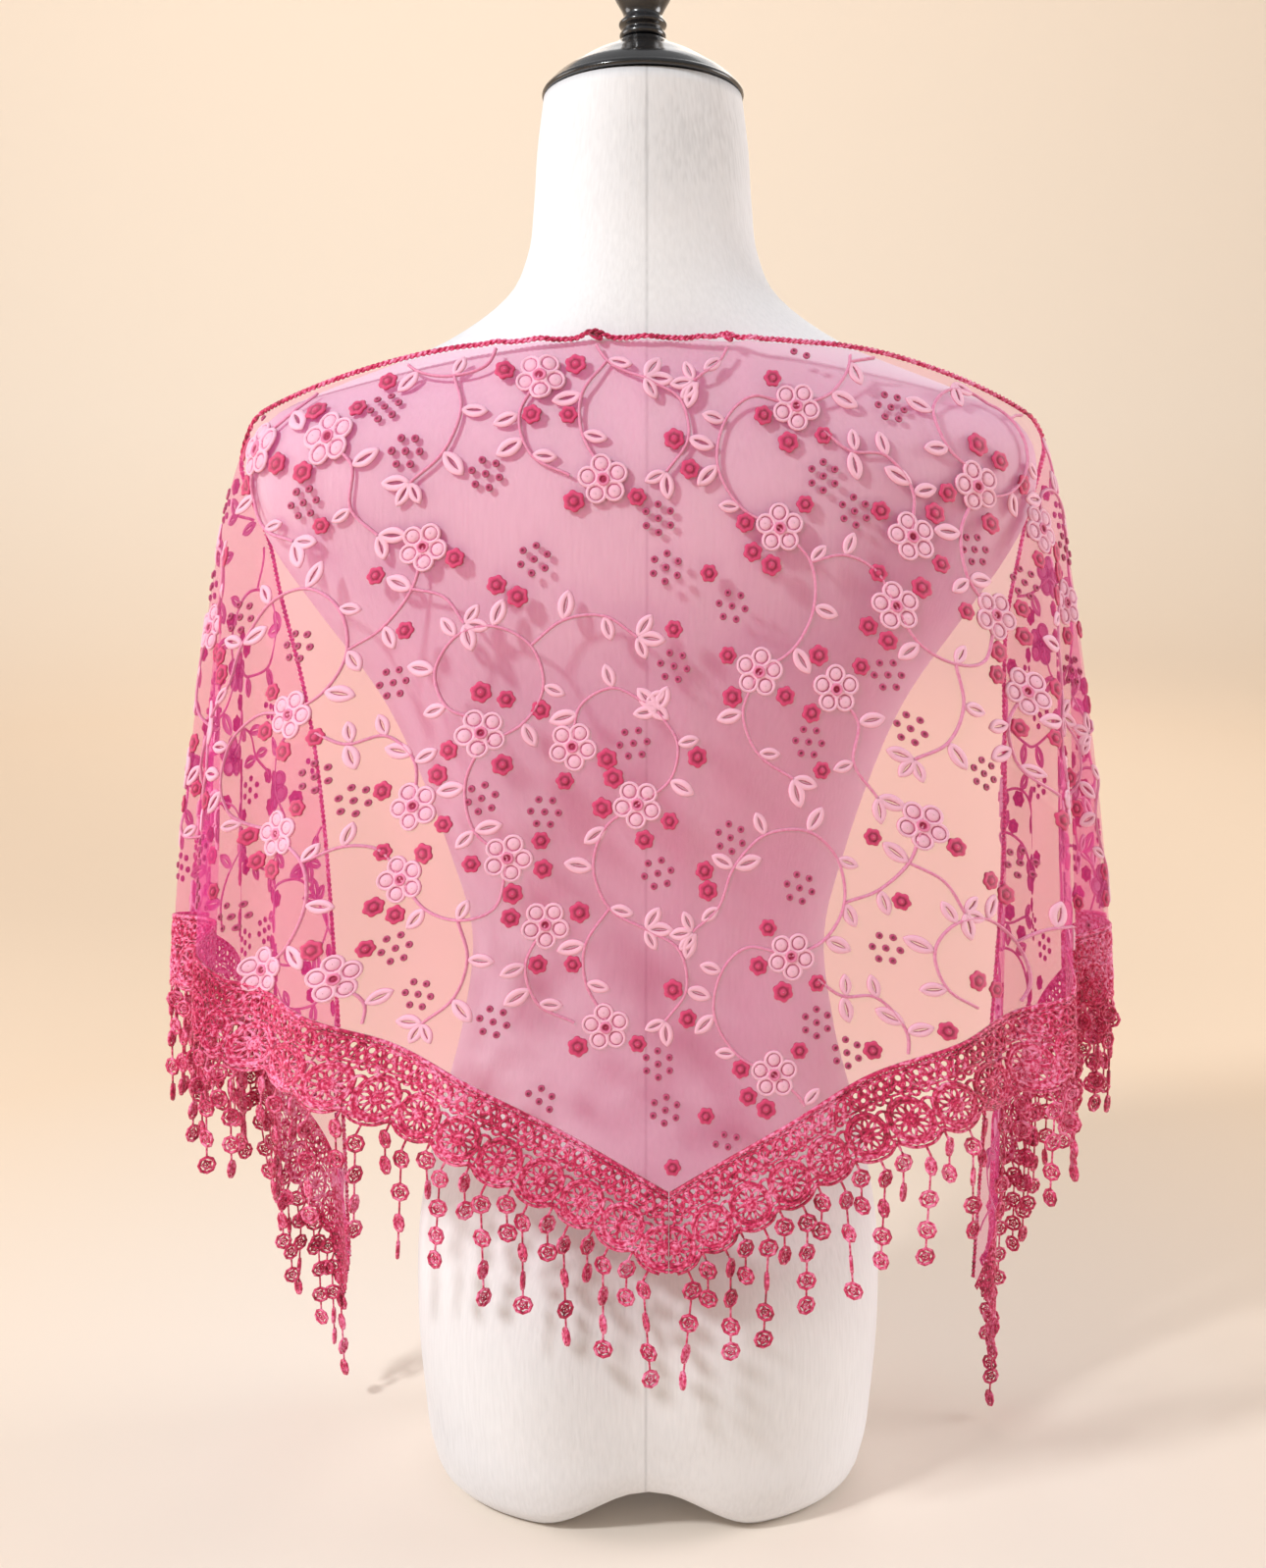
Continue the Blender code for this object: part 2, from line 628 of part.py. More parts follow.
def make_net_side(name, side, drape_map, material):
    seam = SIDE_SEAM + SEAM_GAP / 2
    tip = TOP_EDGE_HALF - TIP_CUT
    top = [(side * s, 0.0) for s in top_columns()[1:]]
    hem = []
    for along in reversed(hem_columns()):
        s, d = hem_to_flat(side, along, 0.0)
        if seam + 0.002 < abs(s) < tip:
            hem.append((s, d))
    tip_corner = (side * tip, NET_DEPTH * (1 - tip / TOP_EDGE_HALF))
    seam_corner = (side * seam, NET_DEPTH * (1 - seam / TOP_EDGE_HALF))
    outline = top + [tip_corner] + hem + [seam_corner] + seam_column(side * seam)[::-1]
    flat, triangles = fill_flat(outline, inner=net_inner_points(side, seam, tip))
    return thick_wall(name, drape_map, flat[:, 0], flat[:, 1], triangles, material)


# Lace border

def scallop(index):
    """Reach of the lace at a quarter step: valley, shoulder, crest, shoulder."""
    return (LACE_VALLEY, LACE_SHOULDER, LACE_WIDTH, LACE_SHOULDER)[index % 4]


def edge_columns():
    """Quarter steps of the scalloped edge from the centre back mitre to the tip."""
    return range(-3, 4 * LACE_REPEATS + 1)


def mitre(out):
    """Where the centre back cuts a lace band, as a place along its edge."""
    return -out * HEM_SIN / HEM_COS + SEAM_GAP / 2 / HEM_COS


def lace_gaps():
    """Round gaps between neighbouring medallions."""
    gaps = []
    for index in range(LACE_REPEATS):
        along = index * LACE_PITCH
        turns = np.arange(GAP_SIDES) * 2 * math.pi / GAP_SIDES
        corners = np.column_stack([along + GAP_RADIUS * np.sin(turns), GAP_OUT + GAP_RADIUS * np.cos(turns)])
        gaps.append(corners.tolist())
    return gaps


def make_lace(name, side, drape_map, material):
    inner_edge = [(along, SEAM_GAP) for along in hem_columns()[1:]]
    outer_edge = [(index * LACE_PITCH / 4, scallop(index)) for index in edge_columns()]
    start = [(mitre(out), out) for out in (LACE_SHOULDER, 0.019, SEAM_GAP)]
    outline = inner_edge + [(HEM_LENGTH, 0.016)] + outer_edge[::-1] + start
    flat, triangles = fill_flat(outline, lace_gaps())
    s, d = hem_to_flat(side, flat[:, 0], flat[:, 1])
    return thick_wall(name, drape_map, s, d, triangles, material)


# Fringe

def strand_rings(index, is_long):
    """Ring distances of one tassel, a little uneven from tassel to tassel."""
    rings = LONG_RINGS if is_long else SHORT_RINGS
    stretch = 1 + 0.05 * math.sin(index * 2.3) + 0.03 * math.sin(index * 0.9 + 1.0)
    return [distance * stretch for distance in rings]


def strand_sections(start, tangent, front, rings, half_width):
    """Corner triples of a hanging tassel, alternating ring and thread."""
    thread = min(THREAD_HALF_WIDTH, half_width * 0.7)
    wide = (min(RING_HALF_THICKNESS, half_width * 0.7), half_width)
    sections = []
    previous = 0.0
    for number, distance in enumerate(rings):
        if number > 0:
            sections.append(((thread, thread), (previous + distance) / 2))
        sections.append((wide, distance))
        previous = distance
    triples = []
    for (forward, sideways), distance in sections:
        centre = start + DOWN * (distance - ROOT_REACH)
        triples.append((
            centre + front * forward - tangent * sideways,
            centre + tangent * sideways,
            centre - front * forward - tangent * sideways,
        ))
    return triples


def strand_room(starts, lengths, strip, index):
    """Level distance from one tassel to the nearest other one, or to the strip below its root."""
    start = starts[index]
    low = start[2] - lengths[index]
    room = RING_HALF_WIDTH / RING_SHARE
    for other, length in zip(starts, lengths):
        meets = other[2] - length < start[2] and low < other[2]
        if other is not start and meets:
            room = min(room, math.hypot(other[0] - start[0], other[1] - start[1]))
    for point in strip:
        if low < point[2] < start[2] - CLOTH_WALL / 2:
            room = min(room, math.hypot(point[0] - start[0], point[1] - start[1]))
    return room


def level_unit(vector):
    """A direction laid level."""
    flat = np.array([vector[0], vector[1], 0.0])
    return flat / np.linalg.norm(flat)


def make_fringe(name, side, drape_map, material):
    """A narrow strip along the scallops with a tassel at each crest and valley."""
    columns = list(edge_columns())
    inner = np.array([LACE_SHOULDER] + [scallop(index) for index in columns]) + SEAM_GAP
    outer = inner + STRIP_WIDTH
    rows = []
    for outs in (inner, outer):
        along = np.array([mitre(outs[0])] + [index * LACE_PITCH / 4 for index in columns])
        s, d = hem_to_flat(side, along, outs)
        middle = drape_map.place(s, d)
        normal = drape_map.normals(s, d)
        rows.append(middle - normal * CLOTH_WALL / 2)
        rows.append(middle + normal * CLOTH_WALL / 2)
    count = len(columns) + 1
    points = [point for row in rows for point in row]
    inner_front, inner_back, outer_front, outer_back = (row * count for row in range(4))
    roots = [place for place in range(1, count - 1) if columns[place - 1] % 2 == 0]
    strands = plan_strands(rows, columns, roots)
    faces = [
        (inner_front, outer_front, outer_back, inner_back),
        (inner_front + count - 1, inner_back + count - 1, outer_back + count - 1, outer_front + count - 1),
    ]
    for place in range(count - 1):
        after = place + 1
        faces.append((inner_front + place, inner_front + after, outer_front + after, outer_front + place))
        faces.append((inner_back + place, outer_back + place, outer_back + after, inner_back + after))
        seam_wall = (inner_back + place, inner_back + after, inner_front + after, inner_front + place)
        faces += split_wall(points, seam_wall)
        corners = (outer_front + place, outer_front + after, outer_back + after, outer_back + place)
        if place in strands:
            add_strand(points, faces, corners, *strands[place])
        else:
            faces.append(corners[::-1])
    return add_object(name, points, faces, material)


def plan_strands(rows, columns, roots):
    """Start, rings and ring width of the tassel at each root, so that none touches another."""
    inner_edge = (rows[0] + rows[1]) / 2
    outer_edge = (rows[2] + rows[3]) / 2
    starts = []
    rings = []
    for place in roots:
        outward = outer_edge[place] - inner_edge[place]
        starts.append(outer_edge[place] + outward / np.linalg.norm(outward) * ROOT_REACH)
        rings.append(strand_rings(columns[place - 1], columns[place - 1] % 4 == 2))
    lengths = [distances[-1] + RING_TAIL for distances in rings]
    middles = (outer_edge[:-1] + outer_edge[1:]) / 2
    strip = list(outer_edge) + list(middles)
    strands = {}
    for index, place in enumerate(roots):
        room = strand_room(starts, lengths, strip, index)
        strands[place] = (starts[index], rings[index], room * RING_SHARE)
    return strands


def add_strand(points, faces, corners, start, rings, half_width):
    """Grow a three-sided tassel from the strip's outer wall, beside one of its columns."""
    near_front, far_front, far_back, near_back = corners
    near = (points[near_front] + points[near_back]) / 2
    far = (points[far_front] + points[far_back]) / 2
    spacing = np.linalg.norm(far - near)
    run = (far - near) / spacing
    middle = len(points)
    points.append(near + run * min(ROOT_WIDTH, spacing * 0.45))
    faces.append((near_front, middle, far_front))
    faces.append((far_front, middle, far_back))
    faces.append((far_back, middle, near_back))
    tangent = level_unit(run)
    across = points[near_front] - points[near_back]
    front = level_unit(across - tangent * np.dot(across, tangent))
    loop = (near_front, middle, near_back)
    for triple in strand_sections(start, tangent, front, rings, half_width):
        first = len(points)
        points.extend(triple)
        fresh = (first, first + 1, first + 2)
        for index in range(3):
            after = (index + 1) % 3
            faces.append((loop[index], loop[after], fresh[after]))
            faces.append((loop[index], fresh[after], fresh[index]))
        loop = fresh
    tip = len(points)
    points.append(start + DOWN * (rings[-1] + RING_TAIL - ROOT_REACH))
    for index in range(3):
        faces.append((loop[index], loop[(index + 1) % 3], tip))


# Braid

def make_braid(drape_map, material):
    """A narrow band along the top edge, from one tip of the shawl over the back to the other."""
    places = np.concatenate([-top_columns()[:0:-1], back_columns(), top_columns()[1:]])
    count = len(places)
    s = np.concatenate([places, places])
    d = np.concatenate([np.full(count, -SEAM_GAP), np.full(count, -SEAM_GAP - BRAID_WIDTH)])
    triangles = []
    for index in range(count - 1):
        far = index + count
        triangles.append((index, far + 1, far))
        triangles.append((index, index + 1, far + 1))
    return thick_wall("top_edge_braid", drape_map, s, d, triangles, material)


def main():
    clear_scene()
    white = make_material("form_white", (0.86, 0.85, 0.84), 0.75)
    black = make_material("turned_black", (0.012, 0.012, 0.013), 0.25)
    net_pink = make_material("net_pink", (0.86, 0.18, 0.42), 0.7)
    lace_pink = make_material("lace_pink", (0.80, 0.06, 0.27), 0.6)
    fringe_pink = make_material("fringe_pink", (0.80, 0.06, 0.27), 0.6)
    form = make_form(white)
    make_turned("neck_cap", CAP_PROFILE, black)
    make_turned("finial", FINIAL_PROFILE, black)
    drape_map = Drape(form)
    make_net_back(drape_map, net_pink)
    make_net_side("net_right", 1, drape_map, net_pink)
    make_net_side("net_left", -1, drape_map, net_pink)
    make_braid(drape_map, lace_pink)
    for name, side in (("right", 1), ("left", -1)):
        make_lace("lace_border_" + name, side, drape_map, lace_pink)
        make_fringe("fringe_" + name, side, drape_map, fringe_pink)


main()
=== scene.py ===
"""Blender scene of a pink net shawl with a lace border and ring tassels, worn by a white dress form."""

from collections import namedtuple
import json
import math

import bpy
import numpy as np
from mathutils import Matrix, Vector
from mathutils.bvhtree import BVHTree

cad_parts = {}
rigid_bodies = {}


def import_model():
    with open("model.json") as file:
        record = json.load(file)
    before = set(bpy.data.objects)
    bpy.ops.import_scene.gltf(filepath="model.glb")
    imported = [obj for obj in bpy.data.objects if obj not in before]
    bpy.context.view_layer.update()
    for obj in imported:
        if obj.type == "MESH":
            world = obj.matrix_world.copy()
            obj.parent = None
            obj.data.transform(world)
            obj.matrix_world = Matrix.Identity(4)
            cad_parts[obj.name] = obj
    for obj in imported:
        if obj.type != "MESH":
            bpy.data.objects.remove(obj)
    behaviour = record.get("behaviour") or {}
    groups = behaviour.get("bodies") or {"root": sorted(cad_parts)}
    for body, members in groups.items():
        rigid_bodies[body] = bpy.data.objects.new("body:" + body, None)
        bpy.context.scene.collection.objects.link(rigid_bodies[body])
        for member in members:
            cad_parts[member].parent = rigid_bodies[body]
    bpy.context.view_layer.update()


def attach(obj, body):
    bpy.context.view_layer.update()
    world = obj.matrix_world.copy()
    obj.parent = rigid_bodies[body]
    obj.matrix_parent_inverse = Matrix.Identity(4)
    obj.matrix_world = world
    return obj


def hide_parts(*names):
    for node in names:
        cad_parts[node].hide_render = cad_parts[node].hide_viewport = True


def table(columns, *rows):
    """Rows of values under named columns."""
    row_of = namedtuple("Row", columns)
    return [row_of(*row) for row in rows]


# Flat cut of the shawl, in metres
TOP_EDGE_HALF = 0.738
NET_DEPTH = 0.426
LACE_WIDTH = 0.040
LACE_VALLEY = 0.0355
LACE_SHOULDER = 0.0390
LACE_REPEATS = 36
HEM_LENGTH = math.hypot(TOP_EDGE_HALF, NET_DEPTH)
HEM_COS = TOP_EDGE_HALF / HEM_LENGTH
HEM_SIN = NET_DEPTH / HEM_LENGTH
LACE_PITCH = HEM_LENGTH / LACE_REPEATS
TIP_CUT = 0.006
GAP_OUT = 0.0235
SEAM_GAP = 0.0003

# How the shawl is worn, as in the solids
ORIGIN_X = 0.0019
ORIGIN_Y = -0.0132
CLOTH_SHIFT = 0.013
SHOULDER_REACH_RIGHT = 0.205
SHOULDER_REACH_LEFT = 0.219
PIVOT_RISE = 0.030
LOW_LEVEL = 0.27
SHOULDER_ROUND = 0.035
SHOULDER_SHARE = 0.32
SWING_LIMIT = 0.34
LONGEST_FALL = 0.70
FALL_STEP = 0.001
PLACE_STEP = 0.01
FOLD_START = 0.01
FOLD_AFTER = 0.15
REST_DISTANCE = 0.0026
REST_REACH = 1.16
SWING_POWER = 6
CREASE_FADE = 0.7

# Fall lines of the cloth from the centre back (place 0) over the shoulder tip (1) to the front (2)
FALL_LINES = table(
    "place top_x top_y top_z left_drop right_x left_x low_y",
    (0.00, 0.000, -0.074, 0.6330, 0.000, 0.000, 0.000, -0.1260),
    (0.25, 0.053, -0.069, 0.6320, 0.000, 0.051, 0.051, -0.1250),
    (0.50, 0.106, -0.056, 0.6270, 0.000, 0.104, 0.103, -0.1180),
    (0.75, 0.157, -0.034, 0.6130, 0.000, 0.161, 0.158, -0.1010),
    (1.00, 0.200, -0.002, 0.5950, 0.001, 0.218, 0.217, -0.0640),
    (1.20, 0.210, 0.010, 0.5870, 0.005, 0.243, 0.244, -0.0280),
    (1.40, 0.213, 0.020, 0.5810, 0.009, 0.252, 0.251, 0.0100),
    (1.60, 0.209, 0.028, 0.5800, 0.009, 0.244, 0.239, 0.0380),
    (1.80, 0.201, 0.034, 0.5830, 0.005, 0.221, 0.210, 0.0520),
    (2.00, 0.191, 0.032, 0.5890, 0.000, 0.188, 0.168, 0.0280),
)

# Crests and troughs of the folds: how far each pushes out at the low level
FOLDS_RIGHT = table(
    "place push",
    (0.00, 0.000), (0.30, 0.002), (0.52, -0.003), (0.72, 0.004),
    (0.88, -0.005), (1.00, 0.007), (1.11, -0.008), (1.21, 0.010),
    (1.32, -0.010), (1.44, 0.009), (1.55, -0.010), (1.65, 0.010),
    (1.76, -0.007), (1.85, 0.008), (1.93, -0.009), (2.00, 0.005),
)
FOLDS_LEFT = table(
    "place push",
    (0.00, 0.000), (0.22, -0.002), (0.45, 0.003), (0.63, -0.004),
    (0.80, 0.006), (0.94, -0.007), (1.06, 0.010), (1.17, -0.011),
    (1.28, 0.009), (1.38, -0.008), (1.49, 0.009), (1.61, -0.011),
    (1.71, 0.010), (1.81, -0.011), (1.90, 0.009), (2.00, -0.005),
)

# Soft creases of the net between two flat places, in metres
CREASES = table(
    "s0 d0 s1 d1 rise width",
    (-0.150, 0.110, -0.020, 0.330, 0.0026, 0.009),
    (-0.125, 0.090, 0.000, 0.290, -0.0016, 0.007),
    (-0.175, 0.150, -0.060, 0.350, 0.0024, 0.008),
    (-0.190, 0.210, -0.090, 0.340, -0.0018, 0.008),
    (0.012, 0.020, 0.006, 0.400, 0.0018, 0.006),
    (0.120, 0.060, 0.100, 0.330, 0.0018, 0.010),
    (0.060, 0.180, 0.030, 0.370, -0.0014, 0.009),
    (-0.086, -0.020, -0.074, 0.050, 0.0016, 0.004),
    (-0.062, -0.020, -0.060, 0.062, 0.0022, 0.005),
    (-0.036, -0.020, -0.042, 0.048, 0.0018, 0.004),
    (-0.012, -0.020, -0.012, 0.070, 0.0024, 0.005),
    (0.014, -0.020, 0.020, 0.052, 0.0018, 0.004),
    (0.040, -0.020, 0.044, 0.060, 0.0020, 0.005),
)

# Level sections of the dress form
FORM_RINGS = table(
    "z half_width back front shift tilt square",
    (0.0000, 0.1130, 0.0920, 0.0780, 0.000, 0.0, 2.5),
    (0.0060, 0.1190, 0.0985, 0.0840, 0.000, 0.0, 2.5),
    (0.0200, 0.1240, 0.1040, 0.0880, 0.000, 0.0, 2.5),
    (0.0500, 0.1280, 0.1080, 0.0900, 0.000, 0.0, 2.4),
    (0.1000, 0.1310, 0.1090, 0.0900, 0.000, 0.0, 2.3),
    (0.1450, 0.1295, 0.1045, 0.0865, 0.000, 0.0, 2.2),
    (0.2000, 0.1190, 0.0890, 0.0790, 0.000, 0.0, 2.2),
    (0.2600, 0.1035, 0.0690, 0.0710, 0.000, 0.0, 2.2),
    (0.3150, 0.0975, 0.0600, 0.0680, 0.000, 0.0, 2.2),
    (0.3600, 0.1085, 0.0650, 0.0740, 0.000, 0.0, 2.2),
    (0.4000, 0.1215, 0.0770, 0.0860, 0.000, 0.0, 2.2),
    (0.4450, 0.1410, 0.0890, 0.0960, 0.000, 0.0, 2.2),
    (0.4950, 0.1760, 0.0975, 0.0930, 0.000, 0.0, 2.1),
    (0.5200, 0.1935, 0.0998, 0.0870, 0.000, 0.0, 2.0),
    (0.5450, 0.2055, 0.0995, 0.0785, 0.000, 0.0, 2.0),
    (0.5680, 0.2082, 0.0968, 0.0690, 0.000, 0.0, 2.0),
    (0.5850, 0.2022, 0.0923, 0.0625, 0.000, 0.0, 2.0),
    (0.5980, 0.1870, 0.0872, 0.0575, 0.000, 0.0, 2.0),
    (0.6080, 0.1635, 0.0828, 0.0545, 0.000, 0.0, 2.0),
    (0.6180, 0.1370, 0.0775, 0.0515, 0.000, 0.5, 2.0),
    (0.6280, 0.1110, 0.0722, 0.0500, 0.000, 1.0, 2.0),
    (0.6400, 0.0890, 0.0668, 0.0490, 0.000, 2.5, 2.0),
    (0.6550, 0.0700, 0.0615, 0.0480, 0.001, 4.5, 2.0),
    (0.6750, 0.0600, 0.0565, 0.0472, 0.003, 7.0, 2.0),
    (0.7000, 0.0566, 0.0533, 0.0470, 0.006, 10.0, 2.0),
    (0.7290, 0.0546, 0.0512, 0.0472, 0.010, 12.5, 2.0),
    (0.7540, 0.0514, 0.0500, 0.0480, 0.013, 14.0, 2.0),
)
FORM_SEGMENTS = 128
FORM_LEVELS = 150
LEVEL_CROWDING = 1.05
SOLE_SCALES = (0.02, 0.25, 0.50, 0.72, 0.88, 0.96)
SOLE_FADE = 0.06
TOP_SCALES = (0.985, 0.9, 0.5, 0.02)
BUST_HEIGHT = 0.440
BUST_RISE = 0.026
BUST_APART = 0.068
SEAT_HEIGHT = 0.110
SEAT_RISE = 0.008
SEAT_APART = 0.058
SWELL_WIDTH = 0.045
SWELL_HEIGHT = 0.055
ARCH_HALF_WIDTH = 0.062
ARCH_RISE = 0.0235
NECK_TILT = math.radians(14.0)

# The hips stand a little to the right of the shoulders
HIP_SHIFT = 0.0034
HIP_SHIFT_START = 0.500
HIP_SHIFT_FULL = 0.315

# Turned profiles above the neck: radius, and height along the neck's axis
CAP_PROFILE = (
    (0.0500, 0.0003), (0.0518, 0.0004), (0.0524, 0.0016), (0.0518, 0.0030), (0.0506, 0.0040),
    (0.0496, 0.0052), (0.0450, 0.0100), (0.0380, 0.0145), (0.0295, 0.0205), (0.0200, 0.0250),
    (0.0145, 0.0280), (0.0125, 0.0310), (0.0060, 0.0312),
)
FINIAL_PROFILE = (
    (0.0080, 0.0312), (0.0112, 0.0314), (0.0120, 0.0324), (0.0122, 0.0340), (0.0112, 0.0352),
    (0.0104, 0.0362), (0.0108, 0.0370), (0.0124, 0.0384), (0.0126, 0.0398), (0.0114, 0.0412),
    (0.0100, 0.0428), (0.0102, 0.0452), (0.0122, 0.0490), (0.0152, 0.0540), (0.0178, 0.0640),
    (0.0165, 0.0745), (0.0115, 0.0830), (0.0050, 0.0875), (0.0010, 0.0884),
)
TURNED_SEGMENTS = 64
TURNED_STEPS = 5
TURNED_ROUNDS = 6

# Camera, in the solids' frame
CAMERA_PLACE = (-0.0070, -1.1388, 0.640)
CAMERA_PITCH = math.radians(78.0)
CAMERA_LENS = 49.45

# Share of light that the net stops, from each flat distance off the centre back
NET_BANDS = table(
    "name start alpha",
    ("pink_tulle_back", 0.00, 0.30),
    ("pink_tulle_shoulder", 0.20, 0.27),
    ("pink_tulle_side", 0.25, 0.26),
    ("pink_tulle_front", 0.31, 0.28),
    ("pink_tulle_end", 0.42, 0.33),
)
NET_COLUMNS = 421
NET_ROWS = 97

# Cross-section of a laid cord, in shares of its half width and of its height
CORD_PROFILE = np.array([(-1.0, 0.0), (-0.62, 0.75), (0.0, 1.0), (0.62, 0.75), (1.0, 0.0)])


# Shared curves and tables

def column(rows, name):
    """One column of a table."""
    return np.array([getattr(row, name) for row in rows])


def find_span(knots, place):
    """The span of a table that a place lies in, and how far along that span it is."""
    place = np.clip(place, knots[0], knots[-1])
    low = np.clip(np.searchsorted(knots, place, side="right") - 1, 0, len(knots) - 2)
    return low, (place - knots[low]) / (knots[low + 1] - knots[low])


def read_smooth(rows, key, name, place):
    """Read a table's column at any place, on a smooth curve through its rows."""
    knots = column(rows, key)
    values = column(rows, name)
    slopes = np.gradient(values, knots)
    low, t = find_span(knots, place)
    span = knots[low + 1] - knots[low]
    start = (2 * t**3 - 3 * t**2 + 1) * values[low] + (t**3 - 2 * t**2 + t) * span * slopes[low]
    end = (3 * t**2 - 2 * t**3) * values[low + 1] + (t**3 - t**2) * span * slopes[low + 1]
    return start + end


def read_folds(folds, place):
    """Run in even waves from each crest to the next trough."""
    values = column(folds, "push")
    low, t = find_span(column(folds, "place"), place)
    return values[low] + (values[low + 1] - values[low]) * (1 - np.cos(math.pi * t)) / 2


def bump(distance, width):
    """A smooth hump that is one at no distance and fades over a width."""
    return np.exp(-((distance / width) ** 2))


def full_turn(count):
    """Even angles round a full turn."""
    return np.arange(count) * 2 * math.pi / count


def way_along(path):
    """Length of a path up to each of its points."""
    return np.concatenate([[0], np.cumsum(np.linalg.norm(np.diff(path, axis=0), axis=1))])


def directions(path, closed):
    """Unit directions of a path at its points."""
    if closed:
        along = np.roll(path, -1, axis=0) - np.roll(path, 1, axis=0)
    else:
        along = np.gradient(path, axis=0)
    return along / (np.linalg.norm(along, axis=1)[:, None] + 1e-12)


def smooth_path(points, step, closed=False):
    """Run a smooth curve through a few points, with even steps along it."""
    points = np.array(points, dtype=float)
    count = len(points)
    if closed:
        ring = np.vstack([points[-1], points, points[0], points[1]])
        spans = count
    else:
        ring = np.vstack([2 * points[0] - points[1], points, 2 * points[-1] - points[-2]])
        spans = count - 1
    fine = []
    for index in range(spans):
        p0, p1, p2, p3 = ring[index:index + 4]
        for t in np.linspace(0, 1, 12, endpoint=False):
            fine.append(0.5 * (2 * p1 + (p2 - p0) * t + (2 * p0 - 5 * p1 + 4 * p2 - p3) * t**2
                               + (3 * p1 - p0 - 3 * p2 + p3) * t**3))
    fine.append(ring[spans + 1])
    fine = np.array(fine)
    lengths = way_along(fine)
    stops = np.linspace(0, lengths[-1], max(2, int(round(lengths[-1] / step)) + 1))
    path = np.column_stack([np.interp(stops, lengths, fine[:, axis]) for axis in range(points.shape[1])])
    return path[:-1] if closed else path


# Meshes

def add_object(name, data):
    item = bpy.data.objects.new(name, data)
    bpy.context.scene.collection.objects.link(item)
    return item


class Build:
    """Points, faces and thread coordinates gathered for one piece."""

    def __init__(self):
        self.points = []
        self.threads = []
        self.faces = []
        self.count = 0

    def add(self, points, faces, threads):
        self.points.append(points)
        self.threads.append(threads)
        self.faces.append(faces + self.count)
        self.count += len(points)

    def piece(self, name, material):
        points = np.vstack(self.points)
        threads = np.vstack(self.threads)
        faces = [tuple(face) for block in self.faces for face in block.tolist()]
        mesh = bpy.data.meshes.new(name)
        mesh.from_pydata(points.tolist(), [], faces)
        layer = mesh.uv_layers.new(name="thread")
        corners = np.zeros(len(mesh.loops), dtype=np.int32)
        mesh.loops.foreach_get("vertex_index", corners)
        layer.data.foreach_set("uv", threads[corners].astype(np.float32).ravel())
        mesh.materials.append(material)
        mesh.shade_smooth()
        item = add_object(name, mesh)
        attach(item, "root")
        return item


def grid_faces(rows, columns, closed_rows=False, closed_columns=False):
    """Four-cornered faces of a grid whose points run along each row in turn."""
    row = np.arange(rows if closed_rows else rows - 1)
    col = np.arange(columns if closed_columns else columns - 1)
    low, side = np.meshgrid(row, col, indexing="ij")
    high = (low + 1) % rows
    after = (side + 1) % columns
    faces = [low * columns + side, low * columns + after, high * columns + after, high * columns + side]
    return np.stack(faces, axis=-1).reshape(-1, 4)


def tube(path, radius, sides, closed=False, ups=None):
    """Points and faces of a round cord along a path in space."""
    count = len(path)
    along = directions(path, closed)
    if ups is None:
        ups = np.tile([0.0, 0.0, 1.0], (count, 1))
        level = np.abs(along[:, 2]) > 0.9
        ups[level] = [0.0, 1.0, 0.0]
    across = np.cross(along, ups)
    across = across / (np.linalg.norm(across, axis=1)[:, None] + 1e-12)
    ups = np.cross(across, along)
    turns = full_turn(sides)
    wheel = across[:, None, :] * np.cos(turns)[None, :, None] + ups[:, None, :] * np.sin(turns)[None, :, None]
    points = path[:, None, :] + wheel * radius
    threads = np.stack(np.broadcast_arrays(way_along(path)[:, None], turns[None, :]), axis=-1)
    return points.reshape(-1, 3), grid_faces(count, sides, closed, True), threads.reshape(-1, 2)


# Dress form

def arch_lift(x):
    """Height of the underside: two flat feet with an arch from front to back between them."""
    inside = np.abs(x) < ARCH_HALF_WIDTH
    return np.where(inside, ARCH_RISE * 0.5 * (1 + np.cos(math.pi * x / ARCH_HALF_WIDTH)), 0.0)


def form_section(z, scale=1.0):
    """Points of one section of the form, anticlockwise from +X."""
    def read(name):
        return read_smooth(FORM_RINGS, "z", name, z)

    angle = full_turn(FORM_SEGMENTS)
    power = 2.0 / read("square")
    across = np.sign(np.cos(angle)) * np.abs(np.cos(angle)) ** power
    deep = np.sign(np.sin(angle)) * np.abs(np.sin(angle)) ** power
    x = across * read("half_width")
    back = read("back")
    front = read("front")
    y = deep * np.where(deep > 0, front, back)
    apart = np.abs(x)
    bust = BUST_RISE * bump(apart - BUST_APART, SWELL_WIDTH) * bump(z - BUST_HEIGHT, SWELL_HEIGHT)
    seat = SEAT_RISE * bump(apart - SEAT_APART, SWELL_WIDTH) * bump(z - SEAT_HEIGHT, SWELL_HEIGHT)
    y = y + deep * np.where(deep > 0, bust, seat)
    x = x * scale
    y = y * scale
    tilt = math.radians(read("tilt"))
    shift = read("shift")
    fade = max(0.0, 1.0 - z / SOLE_FADE)
    height = z - y * math.sin(tilt) + fade * arch_lift(x)
    lower = min(max((HIP_SHIFT_START - z) / (HIP_SHIFT_START - HIP_SHIFT_FULL), 0.0), 1.0)
    return np.column_stack([x + HIP_SHIFT * lower - ORIGIN_X, shift + y * math.cos(tilt) - ORIGIN_Y, height])


def form_mesh():
    """Points and faces of the whole half body, from its arched sole to the top of its neck."""
    sole = [form_section(0.0, scale) for scale in SOLE_SCALES]
    heights = FORM_RINGS[-1].z * np.linspace(0, 1, FORM_LEVELS) ** LEVEL_CROWDING
    body = [form_section(level) for level in heights]
    top = [form_section(FORM_RINGS[-1].z, scale) for scale in TOP_SCALES]
    sections = sole + body + top
    points = np.vstack(sections)
    return points, grid_faces(len(sections), FORM_SEGMENTS, False, True)


